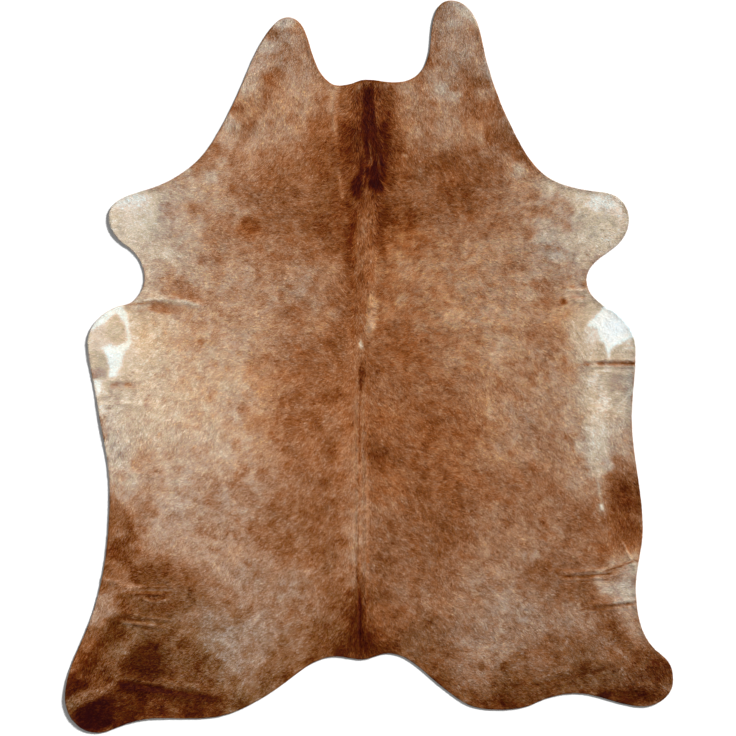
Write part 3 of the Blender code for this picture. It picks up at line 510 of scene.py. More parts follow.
    ("right stifle dark low",      65.7,  -43.4,   2.4,   4.2,   10,   96, 0.80, 0.60),
    ("right thigh light",          56.1,  -46.4,   3.0,   3.6,    0,  124, 0.80, 0.60),
    ("right thigh light b",        47.4,  -54.1,   3.6,   4.2,  -20,  131, 0.90, 0.60),
    ("right thigh dark",           52.8,  -61.3,   7.8,   4.8,    5,   97, 0.90, 0.60),
    ("right thigh dark b",         58.8,  -65.2,   6.6,   6.6,    0,   97, 0.80, 0.60),
    ("right thigh dark c",         64.8,  -66.1,   2.7,   4.2,    0,   81, 0.90, 0.60),
    ("right thigh dark d",         66.3,  -70.3,   3.0,   2.4,  -20,   89, 0.80, 0.60),
    ("right thigh dark top",       57.3,  -55.4,   4.8,   3.6,    0,  104, 0.80, 0.60),
    ("right thigh side",           34.8,  -62.2,   6.6,   9.0,    0,  123, 0.50, 0.70),
    ("right hock pale",            75.9,  -63.8,   8.4,   7.8,  -10,  145, 1.00, 0.40),
    ("right hock pale core",       77.7,  -66.8,   3.6,   3.6,    0,  165, 0.80, 0.60),
    ("right hock pale edge",       80.1,  -59.2,   1.8,   4.2,    0,  161, 0.80, 0.60),
    ("right hock tan",             72.6,  -62.2,   2.7,   1.8,    0,  126, 0.90, 0.60),
    ("right hock edge strip",      79.5,  -75.8,   7.8,   2.7,  -55,  138, 0.90, 0.60),
    ("right hock under",           69.3,  -72.8,   4.2,   3.6,  -40,   95, 0.80, 0.70),
    ("right shank light",          61.8,  -74.8,   6.6,   3.0,  -15,  125, 0.90, 0.60),
    ("right shank light b",        52.8,  -75.1,   6.0,   2.7,    0,  126, 0.80, 0.60),
    ("right shank light c",        72.9,  -84.8,   6.0,   1.8,  -42,  109, 0.90, 0.60),
    ("right shank dark",           71.1,  -77.2,   3.6,   4.2,  -30,   93, 0.90, 0.60),
    ("right shank",                60.3,  -84.8,  10.2,   4.8,   -8,   85, 0.90, 0.60),
    ("right shank low",            66.3,  -92.5,  15.0,   4.8,    0,   75, 1.00, 0.60),
    ("right shank dark spot",      63.9,  -90.5,   3.0,   1.8,    0,   62, 0.80, 0.60),
    ("right hind edge",            84.3,  -84.8,   6.6,   1.5,  -45,  106, 0.90, 0.60),
    ("right hind toe",             85.8,  -91.3,   7.2,   6.6,  -20,   77, 1.00, 0.50),
    ("right hind toe core",        87.3,  -91.3,   3.3,   3.6,    0,   53, 0.90, 0.60),
    ("right hind toe low",         78.9,  -98.5,  10.2,   2.7,   -4,   45, 1.00, 0.60),
    ("right hind light",           77.7,  -92.5,   3.6,   2.1,    0,   80, 0.70, 0.60),
    ("right rump brown",           51.3,  -96.8,  18.0,   5.4,   -5,   74, 1.00, 0.60),
    ("right rump blob",            40.8,  -96.8,   4.2,   4.8,    0,   60, 0.90, 0.60),
    ("right rump",                 45.3,  -90.1,   9.0,   4.2,    0,   97, 0.80, 0.70),
    ("right rump light",           49.8,  -88.3,   4.8,   2.7,  -10,  107, 0.90, 0.60),
    ("right rump edge",            30.3,  -98.2,   4.8,   2.4,  -20,   83, 0.80, 0.70),
    ("right rump light b",         27.9,  -92.5,   2.4,   4.2,  -20,  112, 0.90, 0.60),
    ("right rump light c",         33.3,  -94.3,   2.4,   2.4,    0,  115, 0.70, 0.60),
    ("right rump dark b",          38.4,  -89.2,   2.4,   3.0,    0,  102, 0.60, 0.70),
    ("right thigh core",           39.3,  -69.8,   2.4,   6.0,    0,  143, 0.80, 0.60),
    ("right thigh core low",       38.1,  -78.1,   1.8,   3.6,    0,  142, 0.70, 0.60),
    ("right thigh spot",           33.3,  -84.8,   4.8,   3.0,    0,  129, 0.50, 0.70),
    ("right elbow outer",          78.6,    6.5,   2.7,   2.1,    0,  203, 0.90, 0.50),
    ("left shank dark spot",      -81.3,  -93.1,   2.7,   2.4,   40,   54, 0.80, 0.60),
    ("right hock brown",           76.5,  -82.6,   6.6,   2.1,  -52,   78, 0.90, 0.50),
    ("left toe pale edge",        -90.0, -101.8,   1.8,   2.1,    0,   92, 0.90, 0.60),
    ("right elbow left cream",     66.9,    9.4,   2.4,   3.6,    0,  211, 0.80, 0.60),
    ("right rump edge dark",       38.7, -101.5,   7.8,   1.8,    0,   51, 0.90, 0.60),
    ("left stifle top",           -69.3,  -42.1,   3.9,   3.6,  -20,  121, 0.80, 0.70),
    ("left stifle top dark",      -76.5,  -39.8,   2.4,   3.0,    0,   98, 0.80, 0.60),
    ("left back bay pale",        -12.3,   29.8,   3.0,   3.6,    0,  138, 0.80, 0.60),
    ("left back pale b",          -17.1,   12.8,   3.6,   4.2,    0,  139, 0.80, 0.60),
    ("mane side pale",            -10.2,   73.6,   1.5,   4.2,    0,  121, 0.70, 0.60),
    ("mane side middle",           -5.7,   76.6,   2.4,   4.2,    0,   90, 0.70, 0.60),
    ("left toe ridge pale",       -84.3,  -98.8,   3.6,   1.5,   25,   89, 0.80, 0.60),
    ("right stifle rim",           80.7,  -40.4,   1.5,   6.0,    0,   70, 0.70, 0.60),
    ("left side dark g",          -38.4,  -37.4,   3.0,   2.7,    0,  119, 0.80, 0.60),
    ("left shoulder edge pale b",  -45.0,   54.1,   3.9,   2.1,   20,  152, 0.80, 0.60),
    ("right armpit shade",         61.5,   17.8,   3.6,   3.0,    0,  141, 0.80, 0.60),
    ("left toe heel dark",        -66.3, -102.1,   3.6,   2.4,    0,   44, 0.80, 0.60),
    ("left neck edge pale",       -42.0,   66.8,   2.4,   2.4,    0,  159, 0.80, 0.60),
    ("right neck root pale",       10.5,   83.2,   2.4,   2.7,    0,  146, 0.80, 0.60),
    ("poll rim",                   -3.6,   85.0,   3.0,   1.2,    0,  105, 0.70, 0.60),
    ("left hind mid light",       -58.5,  -88.0,   3.0,   2.1,    0,   80, 0.70, 0.60),
    ("left hind mid light b",     -60.3,  -93.8,   3.0,   1.8,    0,   85, 0.70, 0.60),
    ("right belly shade",          75.6,  -29.5,   2.4,   3.0,    0,  115, 0.80, 0.60),
    ("left side dark d",          -33.9,  -16.6,   3.3,   3.0,    0,  123, 0.70, 0.70),
    ("left side dark e",          -34.5,    0.4,   3.0,   3.0,    0,  124, 0.70, 0.70),
    ("right loin dark",            17.4,  -91.3,   3.0,   2.4,    0,   77, 0.80, 0.60),
    ("right arm pale",             58.2,   34.4,   3.6,   2.4,    0,  163, 0.80, 0.60),
    ("right neck edge rust",       47.4,   62.2,   2.1,   2.1,    0,  106, 0.80, 0.60),
    ("right tail dark",             4.8,  -84.8,   3.0,   3.0,    0,   47, 0.70, 0.60),
    ("right rump pale spot",       26.4,  -88.0,   2.7,   2.4,    0,  121, 0.70, 0.60),
    ("mane right shade",            8.1,   67.0,   2.4,   4.2,    0,   65, 0.70, 0.60),
    ("right ear dark",             29.7,   81.8,   3.0,   2.4,    0,  102, 0.70, 0.60),
    ("right rump dark c",          21.6,  -95.0,   2.4,   2.1,    0,   74, 0.70, 0.60),
    ("right belly cream",          77.4,  -14.2,   2.7,   2.4,    0,  185, 0.80, 0.60),
    ("left toe glint a",          -73.5,  -99.8,   1.8,   1.8,    0,   64, 0.80, 0.60),
    ("left toe glint b",          -75.3, -104.5,   1.5,   1.2,    0,   50, 0.80, 0.60),
    ("left toe dark bit",         -68.1, -100.3,   1.8,   2.1,    0,   30, 0.80, 0.60),
    ("left toe glint c",          -64.8, -101.5,   1.8,   2.1,    0,   62, 0.80, 0.60),
    ("left toe dark bit b",       -62.1, -103.3,   1.2,   1.5,    0,   32, 0.80, 0.60),
    ("left toe glint d",          -59.1, -103.0,   2.1,   1.5,    0,   72, 0.80, 0.60),
    ("left chest pale mark",      -54.3,   58.6,   2.4,   1.8,    0,  155, 0.80, 0.60),
    ("right flank pale mark",      51.6,    6.8,   1.8,   2.4,    0,  133, 0.80, 0.60),
    ("left haunch dark mark",     -27.6,  -82.0,   2.4,   2.1,    0,  105, 0.80, 0.60),
    ("left rump edge shade",      -45.0,  -92.5,   2.4,   3.6,    0,   92, 0.80, 0.60),
    ("right chest dark mark",      59.1,   44.9,   1.8,   1.8,    0,  135, 0.80, 0.60),
    ("neck right dark mark",        6.0,   56.2,   1.8,   2.7,    0,   42, 0.80, 0.60),
    ("left haunch shade",         -31.8,  -82.3,   2.1,   2.1,    0,  104, 0.80, 0.60),
    ("left leg dark mark",        -77.7,  -94.3,   1.8,   2.1,    0,   58, 0.80, 0.60),
    ("left back dark mark",       -33.6,   -5.2,   1.8,   1.8,    0,  124, 0.80, 0.60),
    ("left neck pale mark",       -40.5,   71.2,   1.8,   2.1,    0,  166, 0.80, 0.60),
    ("right haunch pale mark",     47.7,  -57.1,   2.1,   2.1,    0,  135, 0.80, 0.60),
    ("right leg dark mark",        81.9,  -86.2,   2.1,   2.1,    0,   57, 0.80, 0.60),
    ("right shoulder dark mark",   52.2,   46.4,   1.8,   1.8,    0,  122, 0.80, 0.60),
    ("left buttock shade",        -20.7,  -90.1,   2.1,   2.1,    0,   79, 0.80, 0.60),
    ("left tail side shade",      -12.6,  -60.4,   1.8,   2.1,    0,   83, 0.80, 0.60),
    ("right haunch pale edge",     56.1,  -49.9,   1.8,   2.1,    0,  131, 0.80, 0.60),
    ("left flank pale dab",       -42.3,  -31.3,   2.1,   2.1,    0,  158, 0.80, 0.60),
    ("left belly pale dab",       -72.9,   -8.5,   1.8,   1.8,    0,  194, 0.80, 0.60),
    ("left mid back pale dab",    -18.6,   19.3,   2.1,   2.1,    0,  139, 0.80, 0.60),
    ("tail root dark dab",         -8.7,  -86.0,   1.8,   2.1,    0,   34, 0.80, 0.60),
    ("left chest pale dab",       -47.4,   56.9,   2.1,   1.8,    0,  174, 0.80, 0.60),
    ("left hind leg dark dab",    -60.0, -104.5,   1.8,   1.8,    0,   51, 0.80, 0.60),
    ("right rump dark dab",        13.2,  -87.8,   2.1,   2.1,    0,   72, 0.80, 0.60),
    ("left armpit pale dab",      -56.1,   28.9,   2.1,   2.1,    0,  162, 0.80, 0.60),
    ("right belly pale dab",       74.4,  -16.9,   1.8,   2.1,    0,  186, 0.80, 0.60),
    ("left shoulder pale dab",    -44.1,   36.4,   2.1,   1.8,    0,  153, 0.80, 0.60),
    ("right stifle pale dab",      78.9,  -60.1,   1.8,   2.1,    0,  160, 0.80, 0.60),
    ("right flank pale dab",       63.0,  -20.6,   2.1,   2.1,    0,  165, 0.80, 0.60),
    ("right neck pale dab",        14.4,   74.5,   1.8,   2.4,    0,  143, 0.80, 0.60),
    ("left side pale dab",        -74.1,  -37.9,   2.1,   2.1,    0,  170, 0.80, 0.60),
    ("left side dark dab",        -39.9,  -40.9,   1.8,   2.1,    0,  123, 0.80, 0.60),
    ("left neck dark dab",        -39.0,   80.8,   1.8,   1.8,    0,  121, 0.80, 0.60),
    ("right hind pale dab",        37.5, -101.8,   1.8,   1.8,    0,   88, 0.80, 0.60),
    ("left shoulder light dab",   -41.7,   50.9,   1.8,   1.5,    0,  157, 0.80, 0.60),
    ("right neck light dab",       27.3,   68.0,   1.8,   2.1,    0,  144, 0.80, 0.60),
    ("right hind dark dab",        26.4,  -98.5,   1.8,   1.8,    0,   71, 0.80, 0.60),
    ("left haunch light dab",     -23.7,  -72.8,   2.1,   2.1,    0,  123, 0.80, 0.60),
    ("left chest light dab",      -61.8,   51.4,   1.8,   1.8,    0,  187, 0.80, 0.60),
    ("left flank dark dab",       -55.5,   -4.6,   1.8,   2.1,    0,  152, 0.80, 0.60),
    ("left back light dab",       -22.5,    6.5,   1.8,   2.1,    0,  132, 0.80, 0.60),
    ("left chest dark dab",       -52.8,   44.2,   1.8,   1.5,    0,  133, 0.80, 0.60),
    ("right shoulder light dab",   36.9,   47.9,   1.8,   1.8,    0,  137, 0.80, 0.60),
    ("left side dark spot",       -77.7,  -32.2,   1.5,   1.8,    0,  150, 0.80, 0.60),
    ("right thigh light dab",      70.2,  -41.9,   1.8,   1.8,    0,  141, 0.80, 0.60),
    ("right belly light dab",      73.8,   -8.5,   1.8,   1.8,    0,  188, 0.80, 0.60),
    ("right flank light dab",      51.6,   -0.8,   1.8,   1.8,    0,  147, 0.80, 0.60),
    ("left leg light dab",        -86.7,  -98.2,   1.8,   1.8,    0,   83, 0.80, 0.60),
    ("left shoulder low dab",     -25.2,   24.4,   1.8,   1.8,    0,  149, 0.80, 0.60),
    ("rump right dark dab",        24.0,  -68.0,   2.1,   2.1,    0,   95, 0.80, 0.60),
    ("neck light dab",            -20.4,   65.5,   1.8,   2.1,    0,  132, 0.80, 0.60),
    ("right leg dark dab",         77.7, -100.6,   1.8,   1.8,    0,   29, 0.80, 0.60),
    ("right hock light dab",       79.2,  -71.2,   1.5,   1.5,    0,  157, 0.80, 0.60),
    ("left rump dark dab",        -34.8, -100.0,   1.8,   1.8,    0,   80, 0.80, 0.60),
    ("left shoulder glint a",     -54.6,   58.3,   1.8,   1.8,    0,  196, 0.90, 0.60),
    ("right loin glint b",         71.4,  -29.5,   1.8,   1.8,    0,  197, 0.90, 0.60),
    ("right rib glint c",          51.6,    6.8,   1.8,   1.8,    0,  161, 0.90, 0.60),
    ("right shoulder dark bit d",   59.4,   41.9,   1.8,   1.8,    0,  123, 0.90, 0.60),
    ("right leg dark bit e",       40.8,  -89.8,   1.8,   1.8,    0,   57, 0.90, 0.60),
    ("left leg dark bit f",       -26.1,  -82.3,   1.8,   1.8,    0,   75, 0.90, 0.60),
    ("left leg glint g",          -86.7,  -98.2,   1.8,   1.8,    0,  101, 0.90, 0.60),
    ("left neck glint h",         -42.6,   73.3,   1.8,   1.8,    0,  188, 0.90, 0.60),
    ("left rib glint i",          -28.5,   19.6,   1.8,   1.8,    0,  167, 0.90, 0.60),
    ("left rump glint j",         -23.7,  -72.5,   1.8,   1.8,    0,  147, 0.90, 0.60),
    ("left back dark bit k",      -37.5,  -12.8,   1.8,   1.8,    0,  117, 0.90, 0.60),
    ("left loin dark bit l",      -36.3,  -40.0,   1.8,   1.8,    0,  100, 0.90, 0.60),
    ("left rib glint m",          -57.6,   31.9,   1.8,   1.8,    0,  195, 0.90, 0.60),
    ("left leg dark bit n",       -17.4,  -88.0,   1.8,   1.8,    0,   56, 0.90, 0.60),
    ("left leg dark bit o",       -24.6,  -93.1,   1.8,   1.8,    0,   56, 0.90, 0.60),
    ("right rib glint p",           9.6,   19.6,   1.8,   1.8,    0,  152, 0.90, 0.60),
    ("middle rib glint q",        -11.1,   15.8,   1.8,   1.8,    0,  150, 0.90, 0.60),
    ("middle rump glint r",        -5.1,  -64.3,   1.8,   1.8,    0,  134, 0.90, 0.60),
    ("left loin dark bit s",      -69.9,  -29.2,   1.8,   1.8,    0,  130, 0.90, 0.60),
    ("right neck glint t",         26.4,   81.1,   1.8,   1.8,    0,  165, 0.90, 0.60),
    ("right shoulder dark bit u",   14.4,   33.4,   1.8,   1.8,    0,   87, 0.90, 0.60),
    ("left leg dark bit v",       -45.3,  -95.2,   1.8,   1.8,    0,   65, 0.90, 0.60),
    ("left loin dark bit w",      -77.4,  -35.9,   1.8,   1.8,    0,  125, 0.90, 0.60),
    ("left loin dark bit x",      -74.4,  -32.5,   1.8,   1.8,    0,  135, 0.90, 0.60),
    ("left back glint y",         -72.6,   -8.5,   1.8,   1.8,    0,  216, 0.90, 0.60),
    ("left rib glint z",          -24.0,   20.8,   1.8,   1.8,    0,  157, 0.90, 0.60),
    ("right back glint a2",        41.4,  -11.8,   1.8,   1.8,    0,  164, 0.90, 0.60),
    ("left loin dark bit b2",     -45.6,  -36.1,   1.8,   1.8,    0,  110, 0.90, 0.60),
    ("right shoulder dark bit c2",   26.4,   32.9,   1.8,   1.8,    0,   99, 0.90, 0.60),
    ("left rump dark bit d2",     -45.6,  -65.5,   1.8,   1.8,    0,   95, 0.90, 0.60),
    ("left leg dark bit e2",      -45.3, -104.0,   1.8,   1.8,    0,   45, 0.90, 0.60),
    ("left loin glint f2",        -42.3,  -31.3,   1.8,   1.8,    0,  177, 0.90, 0.60),
    ("right rump dark bit g2",     69.0,  -58.6,   1.8,   1.8,    0,   88, 0.90, 0.60),
    ("left shoulder glint h2",    -77.7,   41.9,   1.8,   1.8,    0,  213, 0.90, 0.60),
    ("right leg dark bit i2",      33.9,  -89.8,   1.8,   1.8,    0,   79, 0.90, 0.60),
    ("right leg dark bit j2",      70.5,  -98.5,   1.8,   1.8,    0,   25, 0.90, 0.60),
    ("left loin dark bit k2",     -67.5,  -47.9,   1.8,   1.8,    0,  108, 0.90, 0.60),
    ("left leg dark bit l2",      -77.7,  -95.0,   1.8,   1.8,    0,   42, 0.90, 0.60),
    ("right neck glint m2",        26.4,   72.8,   1.8,   1.8,    0,  160, 0.90, 0.60),
    ("right loin dark bit n2",     41.7,  -46.4,   1.8,   1.8,    0,   80, 0.90, 0.60),
    ("left rump dark bit o2",     -52.8,  -68.8,   1.8,   1.8,    0,   67, 0.90, 0.60),
    ("left shoulder rim glint",   -39.6,   43.9,   1.5,   2.1,    0,  150, 0.90, 0.50),
    ("left shoulder low glint",   -36.3,   38.2,   3.0,   1.5,    0,  146, 0.90, 0.50),
    ("middle loin glint a3",       -3.0,  -52.6,   1.8,   1.8,    0,  160, 0.90, 0.60),
    ("left shoulder glint b3",    -35.7,   38.5,   1.8,   1.8,    0,  149, 0.90, 0.60),
    ("left leg glint c3",         -86.7,  -98.2,   1.8,   1.8,    0,   99, 0.90, 0.60),
    ("right leg dark bit d3",      44.1,  -87.1,   1.8,   1.8,    0,   73, 0.90, 0.60),
    ("left rib glint e3",         -55.8,   28.9,   1.8,   1.8,    0,  183, 0.90, 0.60),
    ("left leg dark bit f3",      -45.0,  -89.0,   1.8,   1.8,    0,   74, 0.90, 0.60),
    ("left shoulder glint g3",    -30.0,   36.8,   1.8,   1.8,    0,  154, 0.90, 0.60),
    ("left shoulder glint h3",    -63.9,   34.6,   1.8,   1.8,    0,  204, 0.90, 0.60),
    ("right back glint i3",        63.6,  -23.8,   1.8,   1.8,    0,  186, 0.90, 0.60),
    ("right neck glint j3",        21.6,   83.5,   1.8,   1.8,    0,  182, 0.90, 0.60),
    ("left rump dark bit k3",     -49.2,  -60.1,   1.8,   1.8,    0,  104, 0.90, 0.60),
    ("left loin dark bit l3",     -47.7,  -40.0,   1.8,   1.8,    0,  108, 0.90, 0.60),
    ("left back glint m3",        -27.3,  -19.6,   1.8,   1.8,    0,  147, 0.90, 0.60),
    ("right shoulder dark bit n3",   63.0,   42.4,   1.8,   1.8,    0,  144, 0.90, 0.60),
    ("left rib glint o3",         -52.2,   26.2,   1.8,   1.8,    0,  178, 0.90, 0.60),
    ("right shoulder dark bit p3",   49.8,   47.2,   1.8,   1.8,    0,  102, 0.90, 0.60),
    ("right rib dark bit q3",      57.9,    9.4,   1.8,   1.8,    0,  110, 0.90, 0.60),
    ("right rib dark bit r3",      53.1,   19.3,   1.8,   1.8,    0,   99, 0.90, 0.60),
    ("right rib glint s3",         51.6,    6.8,   1.8,   1.8,    0,  150, 0.90, 0.60),
    ("right loin glint t3",        55.8,  -49.9,   1.8,   1.8,    0,  145, 0.90, 0.60),
    ("left leg dark bit u3",      -74.7,  -85.0,   1.8,   1.8,    0,   61, 0.90, 0.60),
    ("middle loin dark bit v3",    -7.8,  -52.0,   1.8,   1.8,    0,   84, 0.90, 0.60),
    ("left leg dark bit w3",      -40.5,  -93.8,   1.8,   1.8,    0,   82, 0.90, 0.60),
    ("right rump glint x3",        46.2,  -74.0,   1.8,   1.8,    0,  153, 0.90, 0.60),
    ("right rump glint y3",        11.7,  -61.6,   1.8,   1.8,    0,  134, 0.90, 0.60),
    ("left loin dark bit z3",     -32.1,  -32.2,   1.8,   1.8,    0,  100, 0.90, 0.60),
    ("left rib dark bit ab3",     -40.5,   22.3,   1.8,   1.8,    0,  117, 0.90, 0.60),
    ("right rib dark bit bb3",     33.6,   22.3,   1.8,   1.8,    0,  106, 0.90, 0.60),
    ("left leg dark bit cb3",     -30.9,  -97.6,   1.8,   1.8,    0,   73, 0.90, 0.60),
    ("right hock glint",           71.4,  -66.5,   1.8,   1.2,    0,  172, 0.80, 0.60),
    ("right hock inner dark bit",   72.9,  -63.1,   3.0,   1.2,    0,  116, 0.70, 0.60),
    ("left leg glint a4",         -86.7,  -98.0,   1.8,   1.8,    0,   97, 0.90, 0.60),
    ("right rib glint b4",         51.6,    6.8,   1.8,   1.8,    0,  151, 0.90, 0.60),
    ("left shoulder glint c4",    -35.7,   38.5,   1.8,   1.8,    0,  147, 0.90, 0.60),
    ("left neck glint d4",        -44.1,   61.6,   1.8,   1.8,    0,  165, 0.90, 0.60),
    ("left leg dark bit e4",      -74.7,  -85.0,   1.8,   1.8,    0,   61, 0.90, 0.60),
    ("right neck glint f4",        23.4,   66.5,   1.8,   1.8,    0,  140, 0.90, 0.60),
    ("right shoulder dark bit g4",   53.1,   46.6,   1.8,   1.8,    0,  106, 0.90, 0.60),
    ("right shoulder dark bit h4",   49.8,   51.4,   1.8,   1.8,    0,  108, 0.90, 0.60),
    ("right rib glint i4",         15.6,   12.2,   1.8,   1.8,    0,  143, 0.90, 0.60),
    ("left rib glint j4",         -69.6,   19.6,   1.8,   1.8,    0,  195, 0.90, 0.60),
    ("left leg dark bit k4",      -37.8, -101.5,   1.8,   1.8,    0,   52, 0.90, 0.60),
    ("right loin glint l4",        52.2,  -55.9,   1.8,   1.8,    0,  138, 0.90, 0.60),
    ("right neck glint m4",        19.2,   65.5,   1.8,   1.8,    0,  136, 0.90, 0.60),
    ("left rib glint n4",         -15.9,   18.1,   1.8,   1.8,    0,  154, 0.90, 0.60),
    ("right shoulder glint o4",    44.4,   58.9,   1.8,   1.8,    0,  177, 0.90, 0.60),
    ("left loin dark bit p4",     -65.1,  -43.4,   1.8,   1.8,    0,  110, 0.90, 0.60),
    ("left loin dark bit q4",     -49.5,  -48.8,   1.8,   1.8,    0,  109, 0.90, 0.60),
    ("right loin glint r4",        47.7,  -56.9,   1.8,   1.8,    0,  152, 0.90, 0.60),
    ("left leg glint a5",         -86.7,  -98.0,   1.8,   1.8,    0,   97, 0.90, 0.60),
    ("left shoulder glint b5",    -35.7,   38.5,   1.8,   1.8,    0,  147, 0.90, 0.60),
    ("right rib glint c5",         51.6,    6.8,   1.8,   1.8,    0,  151, 0.90, 0.60),
    ("left leg dark bit d5",      -74.7,  -85.0,   1.8,   1.8,    0,   61, 0.90, 0.60),
    ("right neck glint e5",        41.1,   62.8,   1.8,   1.8,    0,  141, 0.90, 0.60),
    ("left leg dark bit f5",      -29.1,  -85.6,   1.8,   1.8,    0,   85, 0.90, 0.60),
    ("left back dark bit g5",     -15.3,  -17.2,   1.8,   1.8,    0,   78, 0.90, 0.60),
    ("left rump dark bit h5",     -39.3,  -76.3,   1.8,   1.8,    0,   95, 0.90, 0.60),
    ("left rib glint i5",         -18.0,   28.1,   1.8,   1.8,    0,  162, 0.90, 0.60),
    ("right loin dark bit j5",      8.4,  -28.9,   1.8,   1.8,    0,   71, 0.90, 0.60),
    ("right neck glint k5",        33.0,   68.2,   1.8,   1.8,    0,  149, 0.90, 0.60),
    ("right back glint l5",        45.9,   -9.2,   1.8,   1.8,    0,  153, 0.90, 0.60),
    ("right shoulder dark bit m5",   56.7,   43.9,   1.8,   1.8,    0,  122, 0.90, 0.60),
    ("left rib glint n5",         -63.9,   10.3,   1.8,   1.8,    0,  211, 0.90, 0.60),
    ("right neck glint o5",        14.4,   70.6,   1.8,   1.8,    0,  153, 0.90, 0.60),
    ("right leg dark bit p5",      20.4,  -94.0,   1.8,   1.8,    0,   50, 0.90, 0.60),
    ("left leg dark bit q5",      -55.8,  -83.0,   1.8,   1.8,    0,   57, 0.90, 0.60),
    ("left loin dark bit r5",     -13.2,  -34.6,   1.8,   1.8,    0,   73, 0.90, 0.60),
    ("right shoulder dark bit s5",   16.2,   37.0,   1.8,   1.8,    0,   79, 0.90, 0.60),
    ("right back glint t5",        36.9,  -14.2,   1.8,   1.8,    0,  159, 0.90, 0.60),
    ("right armpit dark bit",      58.5,   19.9,   0.9,   0.9,    0,   84, 0.90, 0.60),
    ("right rump glint a6",        78.9,  -59.8,   1.8,   1.8,    0,  175, 0.90, 0.60),
    ("right shoulder dark bit b6",   59.7,   46.9,   1.8,   1.8,    0,  123, 0.90, 0.60),
    ("right shoulder dark bit c6",   26.7,   36.8,   1.8,   1.8,    0,   99, 0.90, 0.60),
    ("left shoulder glint d6",    -60.3,   33.8,   1.8,   1.8,    0,  204, 0.90, 0.60),
    ("left neck dark bit e6",     -23.1,   74.5,   1.8,   1.8,    0,  109, 0.90, 0.60),
    ("left shoulder glint f6",    -47.4,   56.9,   1.8,   1.8,    0,  191, 0.90, 0.60),
    ("right shoulder dark bit g6",   47.7,   40.4,   1.8,   1.8,    0,  105, 0.90, 0.60),
    ("left rump glint h6",        -22.5,  -65.8,   1.8,   1.8,    0,  149, 0.90, 0.60),
    ("left rib glint i6",         -20.7,   22.6,   1.8,   1.8,    0,  156, 0.90, 0.60),
    ("right rump dark bit j6",      8.4,  -74.5,   1.8,   1.8,    0,   74, 0.90, 0.60),
    ("middle rump dark bit k6",     5.1,  -68.8,   1.8,   1.8,    0,   68, 0.90, 0.60),
    ("left back dark bit l6",     -39.9,  -23.6,   1.8,   1.8,    0,  133, 0.90, 0.60),
    ("right loin dark bit m6",     22.8,  -48.4,   1.8,   1.8,    0,   65, 0.90, 0.60),
    ("right leg dark bit n6",      24.0,  -95.5,   1.8,   1.8,    0,   63, 0.90, 0.60),
    ("mane foot dark bit",          0.0,   50.5,   1.8,   1.2,    0,   46, 0.80, 0.60),
)

